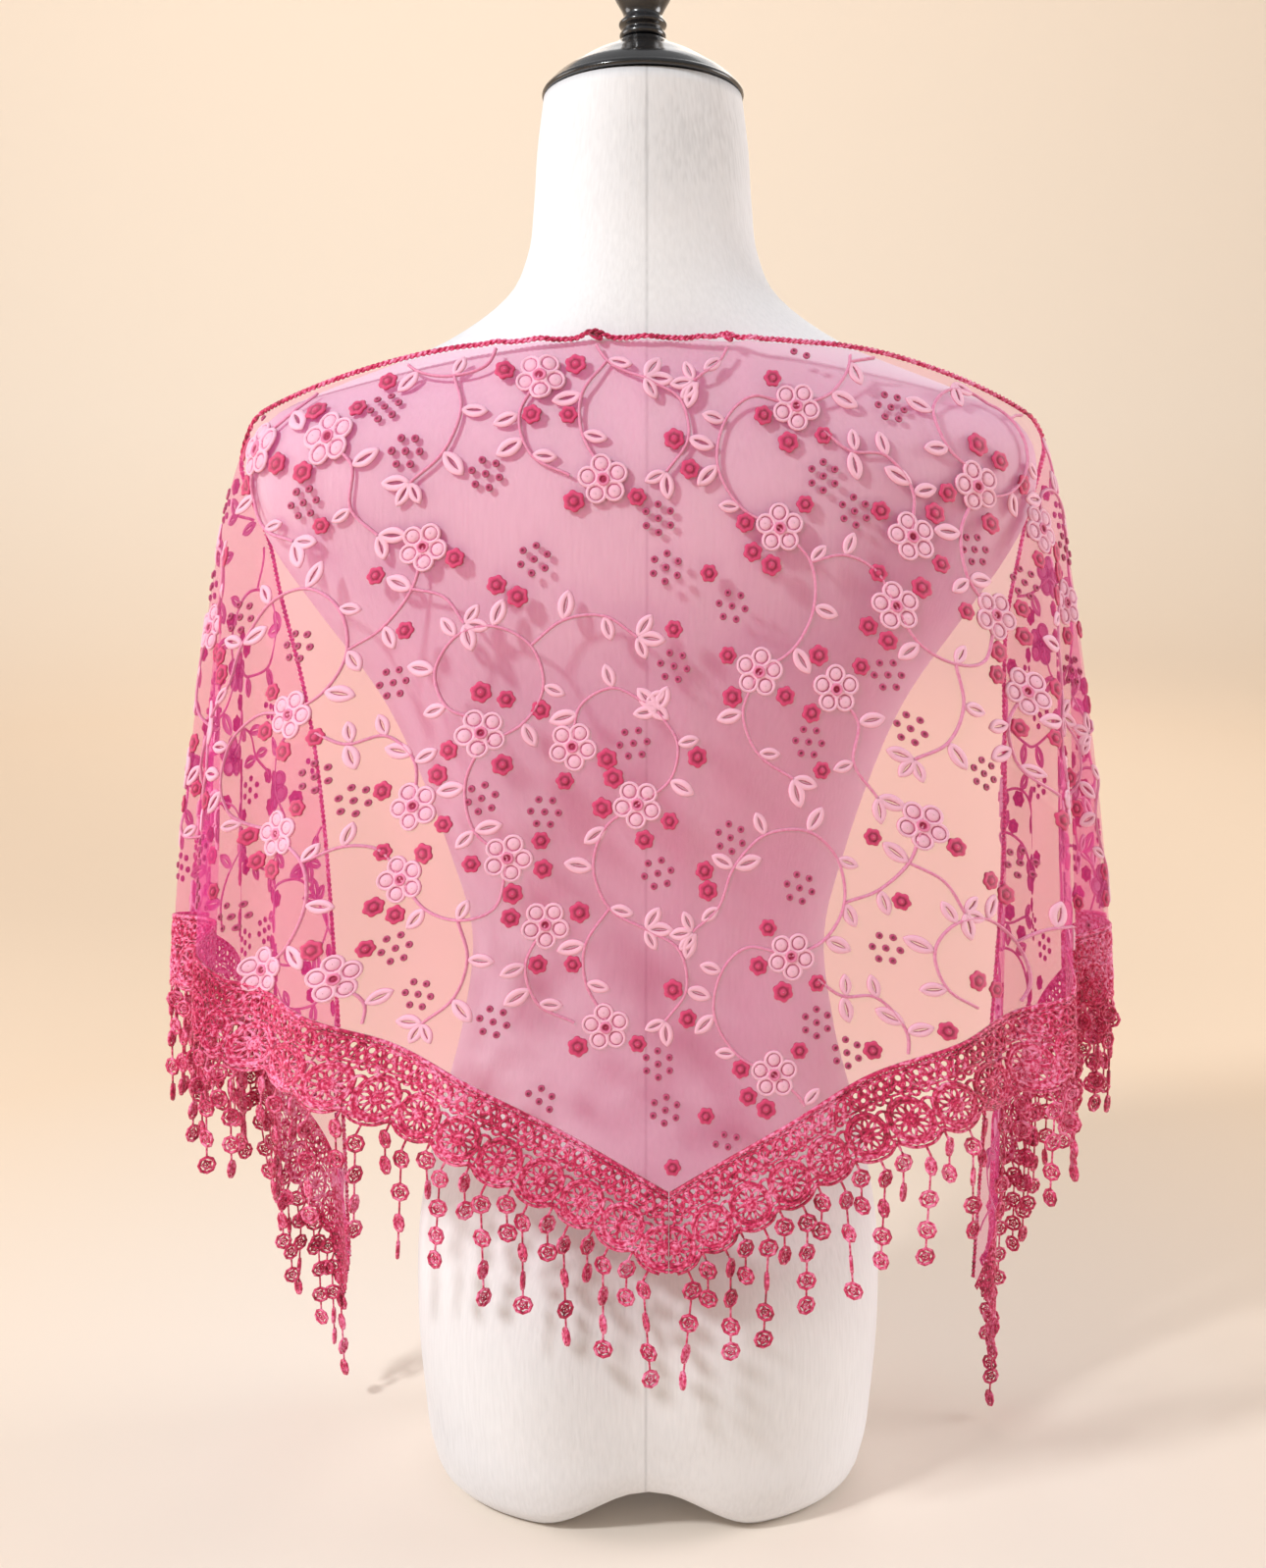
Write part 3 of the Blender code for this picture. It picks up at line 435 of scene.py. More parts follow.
def make_form(material):
    points, faces = form_mesh()
    build = Build()
    threads = np.column_stack([points[:, 0], points[:, 2]])
    build.add(points, faces, threads)
    form = build.piece("dress_form", material)
    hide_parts("form_hips", "form_bust")
    return form


def make_turned(name, node, profile, material):
    """Turn a smoothed profile about the neck's tilted axis."""
    seat = form_section(FORM_RINGS[-1].z).mean(axis=0)
    axis = np.array([0.0, math.sin(NECK_TILT), math.cos(NECK_TILT)])
    across = np.array([1.0, 0.0, 0.0])
    deep = np.cross(axis, across)
    rows = []
    for first, second in zip(np.array(profile[:-1]), np.array(profile[1:])):
        for share in np.arange(TURNED_STEPS) / TURNED_STEPS:
            rows.append(first + (second - first) * share)
    rows.append(profile[-1])
    rows = np.array(rows)
    for _ in range(TURNED_ROUNDS):
        rows[1:-1] = rows[1:-1] * 0.5 + (rows[:-2] + rows[2:]) * 0.25
    turns = full_turn(TURNED_SEGMENTS)
    wheel = across[None, :] * np.cos(turns)[:, None] + deep[None, :] * np.sin(turns)[:, None]
    points = [seat + axis * (height + SEAM_GAP) + wheel * radius for radius, height in rows]
    points = np.vstack(points)
    build = Build()
    threads = np.column_stack([np.tile(turns, len(rows)), np.repeat(rows[:, 1], TURNED_SEGMENTS)])
    build.add(points, grid_faces(len(rows), TURNED_SEGMENTS, False, True), threads)
    item = build.piece(name, material)
    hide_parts(node)
    return item


# Drape of the flat shawl

def fall_tables():
    """How far a fall line has swung out, and how much height that costs, along its length."""
    length = np.arange(-PIVOT_RISE, LONGEST_FALL, FALL_STEP)
    start = np.exp(-np.maximum(length, 0.0) / SHOULDER_ROUND) * SHOULDER_SHARE / SHOULDER_ROUND
    rest = (1 - SHOULDER_SHARE) / LOW_LEVEL / (1 + (np.maximum(length, 0.0) / SWING_LIMIT) ** SWING_POWER)
    slope = start + rest
    zero = np.searchsorted(length, 0.0)
    swing = np.cumsum(slope) * FALL_STEP
    square = np.cumsum(slope**2) * FALL_STEP
    fourth = np.cumsum(slope**4) * FALL_STEP
    return length, swing - swing[zero], square - square[zero], fourth - fourth[zero]


FALL_LENGTH, FALL_SWING, FALL_SQUARE, FALL_FOURTH = fall_tables()


def read_fall(name, place):
    return read_smooth(FALL_LINES, "place", name, place)


def plan_place(side, place, swing):
    """Place in plan of a fall line, swung out by a share of its way, as if on the right."""
    top_x = read_fall("top_x", place)
    top_y = read_fall("top_y", place)
    low_x = np.where(side > 0, read_fall("right_x", place), read_fall("left_x", place))
    low_y = read_fall("low_y", place)
    x = top_x + (low_x - top_x) * swing
    y = top_y + (low_y - top_y) * swing
    return x, y, np.hypot(low_x - top_x, low_y - top_y)


def drape(s, d):
    """Hang points of the flat shawl: s along the top edge from its middle, d down from it."""
    side = np.where(s < 0, -1.0, 1.0)
    reach = np.abs(s)
    shoulder = np.where(side > 0, SHOULDER_REACH_RIGHT, SHOULDER_REACH_LEFT)
    beyond = np.maximum(reach - shoulder, 0.0)
    deep = d + PIVOT_RISE
    turn = np.arctan2(beyond, deep) / (math.pi / 2)
    place = np.minimum(reach / shoulder, 1.0) + turn
    fall = np.hypot(beyond, deep) - PIVOT_RISE
    swing = np.interp(fall, FALL_LENGTH, FALL_SWING)
    x, y, way = plan_place(side, place, swing)
    square = np.interp(fall, FALL_LENGTH, FALL_SQUARE)
    fourth = np.interp(fall, FALL_LENGTH, FALL_FOURTH)
    drop = fall - way**2 * square / 2 - way**4 * fourth / 8
    z = read_fall("top_z", place) - drop
    z = z - np.where(side < 0, read_fall("left_drop", place), 0.0)
    before_x, before_y, _ = plan_place(side, place - PLACE_STEP, swing)
    after_x, after_y, _ = plan_place(side, place + PLACE_STEP, swing)
    run = np.hypot(after_x - before_x, after_y - before_y) + 1e-9
    out_x = (after_y - before_y) / run
    out_y = (before_x - after_x) / run
    grow = np.clip((fall - FOLD_START) / (LOW_LEVEL - FOLD_START), 0.0, None)
    grow = np.where(grow < 1, grow * grow * (3 - 2 * grow), 1 + FOLD_AFTER * (grow - 1))
    push = np.where(side > 0, read_folds(FOLDS_RIGHT, place), read_folds(FOLDS_LEFT, place)) * grow
    x = (x + out_x * push) * side + CLOTH_SHIFT * np.clip(1 - place, 0.0, 1.0)
    y = y + out_y * push
    return np.column_stack([x - ORIGIN_X, y - ORIGIN_Y, z])


def crease_push(s, d):
    """Rise of the soft creases at flat places."""
    push = np.zeros_like(s)
    for crease in CREASES:
        run = np.array([crease.s1 - crease.s0, crease.d1 - crease.d0])
        length = np.linalg.norm(run)
        run = run / length
        along = (s - crease.s0) * run[0] + (d - crease.d0) * run[1]
        aside = (s - crease.s0) * -run[1] + (d - crease.d0) * run[0]
        ends = np.clip(along / length, 0, 1)
        fade = np.sin(math.pi * ends) ** CREASE_FADE
        push = push + crease.rise * fade * bump(aside, crease.width)
    return push


class Cloth:
    """The hanging cloth as a fine grid of places and outward directions over its flat cut."""

    STEP = 0.002
    S_REACH = 0.770
    D_START = -0.012
    D_END = 0.486

    def __init__(self, form_points, form_faces):
        self.s = np.arange(-self.S_REACH, self.S_REACH + self.STEP / 2, self.STEP)
        self.d = np.arange(self.D_START, self.D_END + self.STEP / 2, self.STEP)
        s, d = np.meshgrid(self.s, self.d, indexing="ij")
        tree = BVHTree.FromPolygons(form_points.tolist(), form_faces.tolist())
        points = drape(s.ravel(), d.ravel())
        room = REST_REACH - np.abs(s.ravel()) / TOP_EDGE_HALF - d.ravel() / NET_DEPTH
        for index in np.nonzero(room > 0)[0]:
            place = Vector(points[index])
            near, normal, _, _ = tree.find_nearest(place)
            if (place - near).dot(normal) < REST_DISTANCE:
                points[index] = near + normal * REST_DISTANCE
        points = points.reshape(len(self.s), len(self.d), 3)
        out = self.outward(points)
        points = points + out * crease_push(s, d)[:, :, None]
        self.points = points
        self.out = self.outward(points)

    @staticmethod
    def outward(points):
        along = np.gradient(points, axis=0)
        down = np.gradient(points, axis=1)
        out = np.cross(down, along)
        return out / (np.linalg.norm(out, axis=2)[:, :, None] + 1e-12)

    def read(self, grid, s, d):
        """Read the grid between its points."""
        u = np.clip((s - self.s[0]) / self.STEP, 0, len(self.s) - 1.001)
        v = np.clip((d - self.d[0]) / self.STEP, 0, len(self.d) - 1.001)
        i = u.astype(int)
        j = v.astype(int)
        a = (u - i)[:, None]
        b = (v - j)[:, None]
        low = grid[i, j] * (1 - a) + grid[i + 1, j] * a
        high = grid[i, j + 1] * (1 - a) + grid[i + 1, j + 1] * a
        return low * (1 - b) + high * b

    def lay(self, s, d, height=0.0):
        """Places of flat points, raised off the cloth by a height."""
        height = np.broadcast_to(height, s.shape)
        return self.read(self.points, s, d) + self.read(self.out, s, d) * height[:, None]

    def facing(self, s, d):
        return self.read(self.out, s, d)


def hem_to_flat(side, along, out):
    """Flat place of a point along a lower edge from the centre back, and out from that edge."""
    return side * (along * HEM_COS + out * HEM_SIN), NET_DEPTH - along * HEM_SIN + out * HEM_COS


def net_room(s, d):
    """Distance inside the net's nearest edge."""
    hem = (1 - np.abs(s) / TOP_EDGE_HALF - d / NET_DEPTH) * NET_DEPTH * HEM_COS
    return np.minimum(hem, d)


# Net

def make_net(cloth):
    """One thin sheet from the top edge to the hem, with a density for each stretch."""
    tip = TOP_EDGE_HALF - TIP_CUT
    s = np.linspace(-tip, tip, NET_COLUMNS)
    share = np.linspace(0, 1, NET_ROWS)
    s_grid = np.repeat(s, NET_ROWS)
    depth = NET_DEPTH * (1 - np.abs(s_grid) / TOP_EDGE_HALF)
    d_grid = np.tile(share, NET_COLUMNS) * depth
    faces = grid_faces(NET_COLUMNS, NET_ROWS)
    build = Build()
    build.add(cloth.lay(s_grid, d_grid), faces, np.column_stack([s_grid, d_grid]))
    net = build.piece("shawl_net", net_material(NET_BANDS[0]))
    for band in NET_BANDS[1:]:
        net.data.materials.append(net_material(band))
    middles = np.abs(s_grid[faces].mean(axis=1))
    starts = [band.start for band in NET_BANDS]
    bands = np.searchsorted(starts, middles, side="right") - 1
    net.data.polygons.foreach_set("material_index", bands.astype(np.int32))
    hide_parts("net_back", "net_left", "net_right")
    return net


# Cords and flat motifs laid on the cloth

def lay_cord(build, cloth, path, half_width, height, to_flat=None, closed=False):
    """Lay a cord with a rounded top along a flat path."""
    along = directions(path, closed)
    aside = np.column_stack([-along[:, 1], along[:, 0]])
    offsets = CORD_PROFILE[:, 0] * half_width
    flat = path[:, None, :] + aside[:, None, :] * offsets[None, :, None]
    flat = flat.reshape(-1, 2)
    rise = np.tile(CORD_PROFILE[:, 1] * height, len(path))
    if to_flat is not None:
        flat = np.column_stack(to_flat(flat[:, 0], flat[:, 1]))
    points = cloth.lay(flat[:, 0], flat[:, 1], rise)
    threads = np.column_stack([np.repeat(way_along(path), len(offsets)), np.tile(offsets, len(path))])
    build.add(points, grid_faces(len(path), len(offsets), closed, True), threads)


Motif = namedtuple("Motif", "flat rise faces threads")


def ring_motif(loops, rises):
    """Nested loops of equal point counts, joined into a raised flat shape."""
    count = len(loops[0])
    flat = np.vstack(loops)
    rise = np.repeat(rises, count)
    around = np.tile(np.arange(count) / count, len(loops))
    across = np.repeat(np.arange(len(loops), dtype=float), count)
    return Motif(flat, rise, grid_faces(len(loops), count, False, True), np.column_stack([around, across]))


def circle(radius, count, centre=(0.0, 0.0), lobes=0, depth=0.0):
    """A closed round loop, scalloped if it has lobes."""
    angle = full_turn(count)
    reach = radius * (1 + depth * np.cos(lobes * angle))
    return np.column_stack([centre[0] + reach * np.cos(angle), centre[1] + reach * np.sin(angle)])


def leaf_loop(length, width, count, foot):
    """A pointed oval along +X from its foot."""
    angle = full_turn(count)
    x = length * (0.5 - 0.5 * np.cos(angle)) + foot
    y = width / 2 * np.sign(np.sin(angle)) * np.abs(np.sin(angle)) ** 1.6
    return np.column_stack([x, y])


def lobed(radius, count, lobes, depth):
    """A closed loop of rounded lobes."""
    angle = full_turn(count)
    reach = radius * (1 - depth + 2 * depth * np.abs(np.cos(lobes / 2 * angle)))
    return np.column_stack([reach * np.cos(angle), reach * np.sin(angle)])


def moved(motif, x, y, turn=0.0, scale=1.0):
    """A motif scaled, turned and then moved to a flat place."""
    cos, sin = math.cos(turn), math.sin(turn)
    px = motif.flat[:, 0] * scale
    py = motif.flat[:, 1] * scale
    flat = np.column_stack([x + px * cos - py * sin, y + px * sin + py * cos])
    return Motif(flat, motif.rise, motif.faces, motif.threads)


def lay_motif(build, cloth, motif, to_flat=None):
    flat = motif.flat
    if to_flat is not None:
        flat = np.column_stack(to_flat(flat[:, 0], flat[:, 1]))
    build.add(cloth.lay(flat[:, 0], flat[:, 1], motif.rise), motif.faces, motif.threads)


def round_motif(rows, count):
    """Nested circles of a table: radius, distance from the motif's middle and rise."""
    loops = [circle(row.radius, count, (row.away, 0.0)) for row in rows]
    return ring_motif(loops, column(rows, "rise"))


# Embroidery

# Loops of each motif, from its rim inwards
LEAF_LENGTH = 0.0148
LEAF_POINTS = 24
LEAF_LOOPS = table(
    "length width foot rise",
    (LEAF_LENGTH, 0.0082, 0.0, 0.0),
    (LEAF_LENGTH * 0.99, 0.0082 * 0.96, 0.0, 0.0006),
    (0.0126, 0.0058, 0.0011, 0.0012),
    (0.0086, 0.0022, 0.0030, 0.0010),
    (0.0078, 0.0009, 0.0034, 0.0001),
)
FLOWER_POINTS = 16
PETAL_LOOPS = table(
    "radius away rise",
    (0.0050, 0.0068, 0.0), (0.0049, 0.0068, 0.0010), (0.0043, 0.0068, 0.0016),
    (0.0036, 0.0069, 0.0012), (0.0031, 0.0071, 0.0003), (0.0027, 0.0073, 0.0009),
    (0.0020, 0.0073, 0.0014), (0.0010, 0.0073, 0.0015), (0.0002, 0.0073, 0.0015),
)
CENTRE_LOOPS = table(
    "radius away rise",
    (0.0030, 0.0, 0.0004), (0.0029, 0.0, 0.0018), (0.0023, 0.0, 0.0023), (0.0017, 0.0, 0.0016),
    (0.0013, 0.0, 0.0007), (0.0008, 0.0, 0.0010), (0.0002, 0.0, 0.0013),
)
FLORET_POINTS = 30
FLORET_LOBES = 6
FLORET_LOOPS = table(
    "radius lobe rise",
    (0.0046, 0.12, 0.0), (0.0045, 0.12, 0.0008), (0.0035, 0.12, 0.0013),
    (0.0021, 0.0, 0.0005), (0.0014, 0.0, 0.0014), (0.0002, 0.0, 0.0016),
)
DOT_POINTS = 9
DOT_LOOPS = table(
    "radius away rise",
    (0.0019, 0.0, 0.0), (0.0018, 0.0, 0.0008), (0.0012, 0.0, 0.0012), (0.0006, 0.0, 0.0007),
    (0.0001, 0.0, 0.0004),
)
VINE_STEP = 0.0018
VINE_HALF_WIDTH = 0.00085
VINE_HEIGHT = 0.0013
SHORTEST_RUN = 4

# Numbers and scales of the motifs
PETALS = 5
FLOWER_SCALE = 1.06
LEAF_SMALLEST = 0.78
LEAF_RANGE = 0.24
FLORET_SMALLEST = 0.92
FLORET_RANGE = 0.16
FLORET_TURN = 0.7
CLUSTER_DOTS = 6
CLUSTER_RADIUS = 0.0068

# Distance that each motif keeps from the net's edges
VINE_ROOM = 0.0025
LEAF_ROOM = 0.001
FLOWER_ROOM = 0.008
FLORET_ROOM = 0.007
DOT_ROOM = 0.003

# Radii that the motifs take on the cloth, and the search for a clear place
FLOWER_SPREAD = 0.0126
LEAF_SPREAD = 0.0034
FLORET_SPREAD = 0.0048
CLUSTER_SPREAD = 0.0087
SEARCH_REACH = 0.022
SEARCH_STEP = 0.001
SEARCH_WAYS = 16

# One repeat of the embroidery, charted in millimetres: right, and down
REPEAT_ACROSS = 0.250
REPEAT_DOWN = 0.270
FIRST_ACROSS = 0.012
FIRST_DOWN = 0.040
VINES = (
    ((0, 62), (14, 50), (22, 30), (38, 14), (60, 12), (76, 26), (80, 48), (70, 66), (52, 74)),
    ((52, 74), (30, 70), (16, 82), (12, 104), (24, 124), (44, 134)),
    ((80, 48), (98, 40), (112, 24), (118, 4)),
    ((112, 24), (128, 30), (138, 44)),
    ((146, 92), (130, 84), (124, 66), (134, 50), (152, 46), (170, 56), (176, 76), (166, 94), (146, 104)),
    ((170, 56), (186, 44), (206, 42), (222, 52)),
    ((146, 104), (138, 124), (142, 146), (158, 160)),
    ((44, 134), (60, 150), (62, 172), (52, 192), (34, 204)),
    ((60, 150), (78, 146), (94, 152), (104, 168)),
    ((104, 168), (116, 184), (134, 190), (152, 184), (158, 160)),
    ((134, 190), (138, 210), (130, 230), (114, 242)),
    ((222, 134), (206, 146), (200, 166), (208, 186), (226, 196)),
    ((208, 186), (196, 204), (196, 224), (206, 242)),
    ((222, 134), (238, 122), (242, 104), (232, 88)),
    ((34, 204), (26, 224), (34, 244), (52, 256)),
    ((112, 130), (112, 110), (98, 95), (80, 95), (66, 86)),
    ((176, 194), (166, 214), (172, 234), (190, 244)),
    ((74, 214), (86, 228), (84, 248), (96, 264)),
    ((226, 196), (243, 206), (247, 226), (236, 242)),
    ((190, 104), (194, 86), (210, 77), (226, 84)),
)
FLOWERS = (
    (52, 74, 0.2), (44, 134, 0.9), (146, 98, 0.5), (158, 160, 0.1), (104, 168, 0.7), (222, 134, 0.4),
    (34, 204, 1.1), (118, 4, 0.3), (206, 246, 0.8), (112, 132, 0.6), (176, 194, 0.3), (74, 212, 0.9),
    (190, 106, 0.2),
)
LEAVES = (
    (14, 50, 2.5), (22, 30, 3.6), (22, 30, -0.3), (38, 14, -2.0), (60, 12, -1.0), (76, 26, 0.3),
    (80, 48, 1.1), (70, 66, 0.4), (16, 82, 3.4), (12, 104, 2.4), (24, 124, 3.2), (98, 40, 1.2),
    (112, 24, -2.6), (138, 44, 0.2), (138, 44, 1.3), (138, 44, -0.9), (130, 84, 2.9), (124, 66, 3.4),
    (134, 50, -2.2), (152, 46, -1.2), (176, 76, 0.4), (166, 94, 1.1), (186, 44, -1.4), (206, 42, 1.3),
    (222, 52, 0.1), (222, 52, 1.2), (222, 52, -1.0), (138, 124, 3.0), (142, 146, 2.4), (142, 146, -0.2),
    (60, 150, -0.8), (62, 172, 0.3), (52, 192, 1.0), (78, 146, -1.2), (116, 184, 2.4), (134, 190, -1.1),
    (138, 210, 0.1), (130, 230, 0.9), (114, 242, 2.2), (114, 242, 3.3), (114, 242, 1.2), (206, 146, 2.5),
    (200, 166, 3.3), (208, 186, 0.2), (226, 196, 0.0), (226, 196, 1.1), (226, 196, -1.0), (196, 204, 2.9),
    (196, 224, 0.2), (238, 122, 0.5), (242, 104, -0.2), (232, 88, -1.2), (232, 88, -2.3), (232, 88, 3.0),
    (26, 224, 2.9), (34, 244, 0.0), (52, 256, 0.3), (52, 256, 1.3), (0, 62, 3.0), (0, 62, 1.8),
    (0, 62, -2.0), (112, 110, -0.4), (111, 106, 3.5), (98, 95, -1.9), (80, 95, 1.3), (82, 95, -1.7),
    (166, 214, 2.8), (168, 226, 2.6), (172, 234, 0.1), (86, 228, -0.3), (84, 248, 2.8), (96, 264, 1.4),
    (96, 264, 0.2), (243, 206, -0.7), (247, 226, 0.3), (236, 242, 2.7), (236, 242, 1.5), (193, 90, 2.9),
    (210, 77, -1.9), (226, 84, 0.6), (226, 84, -0.5),
)
FLORETS = (
    (40, 60), (38, 78), (48, 92), (66, 88), (32, 142), (40, 152), (56, 122), (30, 128), (146, 78), (158, 82),
    (134, 104), (156, 114), (172, 152), (172, 166), (160, 178), (146, 160), (92, 176), (116, 156), (98, 154),
    (104, 184), (212, 122), (234, 142), (224, 150), (210, 134), (22, 196), (44, 214), (26, 214), (106, 14),
    (130, 10), (196, 252), (218, 254), (178, 96), (204, 112), (186, 122), (172, 214), (240, 226), (8, 156),
    (96, 122), (126, 122), (126, 142), (162, 190), (190, 188), (186, 206), (62, 222), (62, 202), (86, 200),
    (8, 28), (6, 36), (104, 46), (154, 26), (160, 32), (240, 48), (2, 110), (0, 240), (70, 252),
)
DOT_CLUSTERS = (
    (102, 68, 0.0), (18, 20, 0.4), (240, 70, 0.2), (172, 14, 0.7), (66, 108, 0.5), (176, 138, 0.1),
    (92, 194, 0.9), (150, 240, 0.3), (236, 18, 0.6), (20, 172, 0.2), (232, 168, 0.8), (60, 238, 0.1),
    (228, 260, 0.5), (56, 40, 0.3), (134, 130, 0.8), (83, 123, 0.4), (220, 104, 0.9), (112, 227, 0.2),
)


def leaf_motif():
    """A satin-stitched leaf with a narrow slit along its middle."""
    loops = [leaf_loop(row.length, row.width, LEAF_POINTS, row.foot) for row in LEAF_LOOPS]
    return ring_motif(loops, column(LEAF_LOOPS, "rise"))


def floret_motif():
    """A small filled flower of rounded lobes."""
    loops = [lobed(row.radius, FLORET_POINTS, FLORET_LOBES, row.lobe) for row in FLORET_LOOPS]
    return ring_motif(loops, column(FLORET_LOOPS, "rise"))


def repeats():
    """Flat offsets of the repeats, with every other column dropped by half."""
    offsets = []
    for column_index in range(-4, 4):
        for row_index in range(-1, 3):
            drop = REPEAT_DOWN / 2 if column_index % 2 else 0.0
            across = column_index * REPEAT_ACROSS + FIRST_ACROSS
            offsets.append((across, row_index * REPEAT_DOWN + drop - FIRST_DOWN))
    return offsets


def leaf_scale(number):
    """Five sizes of leaf by turns."""
    return LEAF_SMALLEST + LEAF_RANGE * ((number * 7) % 5) / 4


def flower_and_leaf_circles():
    """Circles of one repeat that its flowers and leaves take: x, y and radius."""
    circles = [(x / 1000, y / 1000, FLOWER_SPREAD) for x, y, _ in FLOWERS]
    for number, (x, y, turn) in enumerate(LEAVES):
        for share in (0.2, 0.5, 0.8):
            away = LEAF_LENGTH * leaf_scale(number) * share
            circles.append((x / 1000 + away * math.cos(turn), y / 1000 + away * math.sin(turn), LEAF_SPREAD))
    return circles


def clear_place(x, y, spread, circles):
    """The place nearest to a motif's own where it lies clear of the circles of all repeats."""
    around = []
    for across in (-REPEAT_ACROSS, 0.0, REPEAT_ACROSS):
        drop = REPEAT_DOWN / 2 if across else 0.0
        for row_index in range(-2, 3):
            around.append(np.array(circles) + [across, row_index * REPEAT_DOWN + drop, 0.0])
    around = np.concatenate(around)
    for away in np.arange(0.0, SEARCH_REACH, SEARCH_STEP):
        for way in range(SEARCH_WAYS):
            angle = way * 2 * math.pi / SEARCH_WAYS
            place = (x + away * math.cos(angle), y + away * math.sin(angle))
            room = np.hypot(around[:, 0] - place[0], around[:, 1] - place[1]) - around[:, 2]
            if room.min() > spread:
                return place
    return (x, y)


def clear_places():
    """Places of a repeat's florets and dot clusters, moved clear of the other motifs."""
    circles = flower_and_leaf_circles()
    florets = []
    for x, y in FLORETS:
        place = clear_place(x / 1000, y / 1000, FLORET_SPREAD, circles)
        circles.append((*place, FLORET_SPREAD))
        florets.append(place)
    clusters = []
    for x, y, turn in DOT_CLUSTERS:
        place = clear_place(x / 1000, y / 1000, CLUSTER_SPREAD, circles)
        circles.append((*place, CLUSTER_SPREAD))
        clusters.append((*place, turn))
    return florets, clusters


def split_runs(path):
    """The stretches of a path that lie inside the net."""
    inside = net_room(path[:, 0], path[:, 1]) > VINE_ROOM
    runs = []
    start = None
    for index, flag in enumerate(inside):
        if flag and start is None:
            start = index
        if start is not None and (not flag or index == len(inside) - 1):
            end = index + 1 if flag else index
            if end - start > SHORTEST_RUN:
                runs.append(path[start:end])
            start = None
    return runs


def make_vines(cloth, material):
    """Cords along every vine of every repeat."""
    build = Build()
    for across, down in repeats():
        for vine in VINES:
            points = np.array(vine, dtype=float) / 1000 + [across, down]
            for run in split_runs(smooth_path(points, VINE_STEP)):
                lay_cord(build, cloth, run, VINE_HALF_WIDTH, VINE_HEIGHT)
    return build.piece("embroidered_vines", material)


def embroider(name, material, cloth, motif, spots, room, whole=False):
    """One piece that repeats a motif where its middle, or the whole of it, lies well inside the net."""
    build = Build()
    for across, down in repeats():
        for x, y, turn, scale in spots:
            placed = moved(motif, x + across, y + down, turn, scale)
            tested = placed.flat if whole else np.array([(x + across, y + down)])
            if net_room(tested[:, 0], tested[:, 1]).min() > room:
                lay_motif(build, cloth, placed)
    return build.piece(name, material)


def make_leaves(cloth, material):
    spots = []
    for number, (x, y, turn) in enumerate(LEAVES):
        spots.append((x / 1000, y / 1000, turn, leaf_scale(number)))
    return embroider("embroidered_leaves", material, cloth, leaf_motif(), spots, LEAF_ROOM, True)


def make_petals(cloth, material):
    spots = []
    for x, y, turn in FLOWERS:
        for index in range(PETALS):
            spots.append((x / 1000, y / 1000, turn + index * 2 * math.pi / PETALS, FLOWER_SCALE))
    # A petal's loops lie away from its spot, which is the flower's middle
    petal = round_motif(PETAL_LOOPS, FLOWER_POINTS)
    return embroider("embroidered_petals", material, cloth, petal, spots, FLOWER_ROOM)


def make_flower_centres(cloth, material):
    spots = [(x / 1000, y / 1000, 0.0, FLOWER_SCALE) for x, y, _ in FLOWERS]
    centre = round_motif(CENTRE_LOOPS, FLOWER_POINTS)
    return embroider("embroidered_flower_centres", material, cloth, centre, spots, FLOWER_ROOM)


def make_florets(cloth, florets, material):
    spots = []
    for number, (x, y) in enumerate(florets):
        scale = FLORET_SMALLEST + FLORET_RANGE * (number % 3) / 2
        spots.append((x, y, number * FLORET_TURN, scale))
    return embroider("embroidered_florets", material, cloth, floret_motif(), spots, FLORET_ROOM)


def make_dots(cloth, clusters, material):
    spots = []
    for x, y, turn in clusters:
        spots.append((x, y, 0.0, 1.0))
        for angle in turn + full_turn(CLUSTER_DOTS):
            aside, down = CLUSTER_RADIUS * math.cos(angle), CLUSTER_RADIUS * math.sin(angle)
            spots.append((x + aside, y + down, 0.0, 1.0))
    dot = round_motif(DOT_LOOPS, DOT_POINTS)
    return embroider("embroidered_dots", material, cloth, dot, spots, DOT_ROOM)


# Lace border: its medallions, the mesh between them, the rings in the valleys and the long cords

MEDALLION_OUT = 0.0275
MEDALLION_RINGS = table(
    "radius points scallops depth half_width height",
    (0.0110, 34, 12, 0.03, 0.00100, 0.0015),
    (0.0089, 26, 0, 0.0, 0.00070, 0.0013),
    (0.0031, 14, 0, 0.0, 0.00080, 0.0016),
)
FILL_POINTS = 20
FILL_LOOPS = table(
    "radius away rise",
    (0.0112, 0.0, 0.0), (0.0110, 0.0, 0.0006), (0.0098, 0.0, 0.0007), (0.0086, 0.0, 0.0),
)
CORE_POINTS = 12
CORE_LOOPS = table(
    "radius away rise",
    (0.0030, 0.0, 0.0004), (0.0024, 0.0, 0.0012), (0.0010, 0.0, 0.0016), (0.0002, 0.0, 0.0012),
)
SPOKES = 10
SPOKE_FOOT = 0.0032
SPOKE_TIP = 0.0087
SPOKE_BULGE = 0.0015
SPOKE_STEP = 0.0014
SPOKE_HALF_WIDTH = 0.00068
SPOKE_HEIGHT = 0.0013
MESH_COLUMNS = 5
MESH_WOBBLE = 0.0006
MESH_RINGS = table(
    "radius points aside out sway lift half_width height skips_middle",
    (0.0023, 12, 0.0, 0.0068, 1, 1, 0.00092, 0.0013, False),
    (0.0021, 10, LACE_PITCH / 10, 0.0108, 0, -1, 0.00088, 0.0014, False),
    (0.0020, 10, 0.0, 0.0146, -1, 1, 0.00085, 0.0013, True),
)
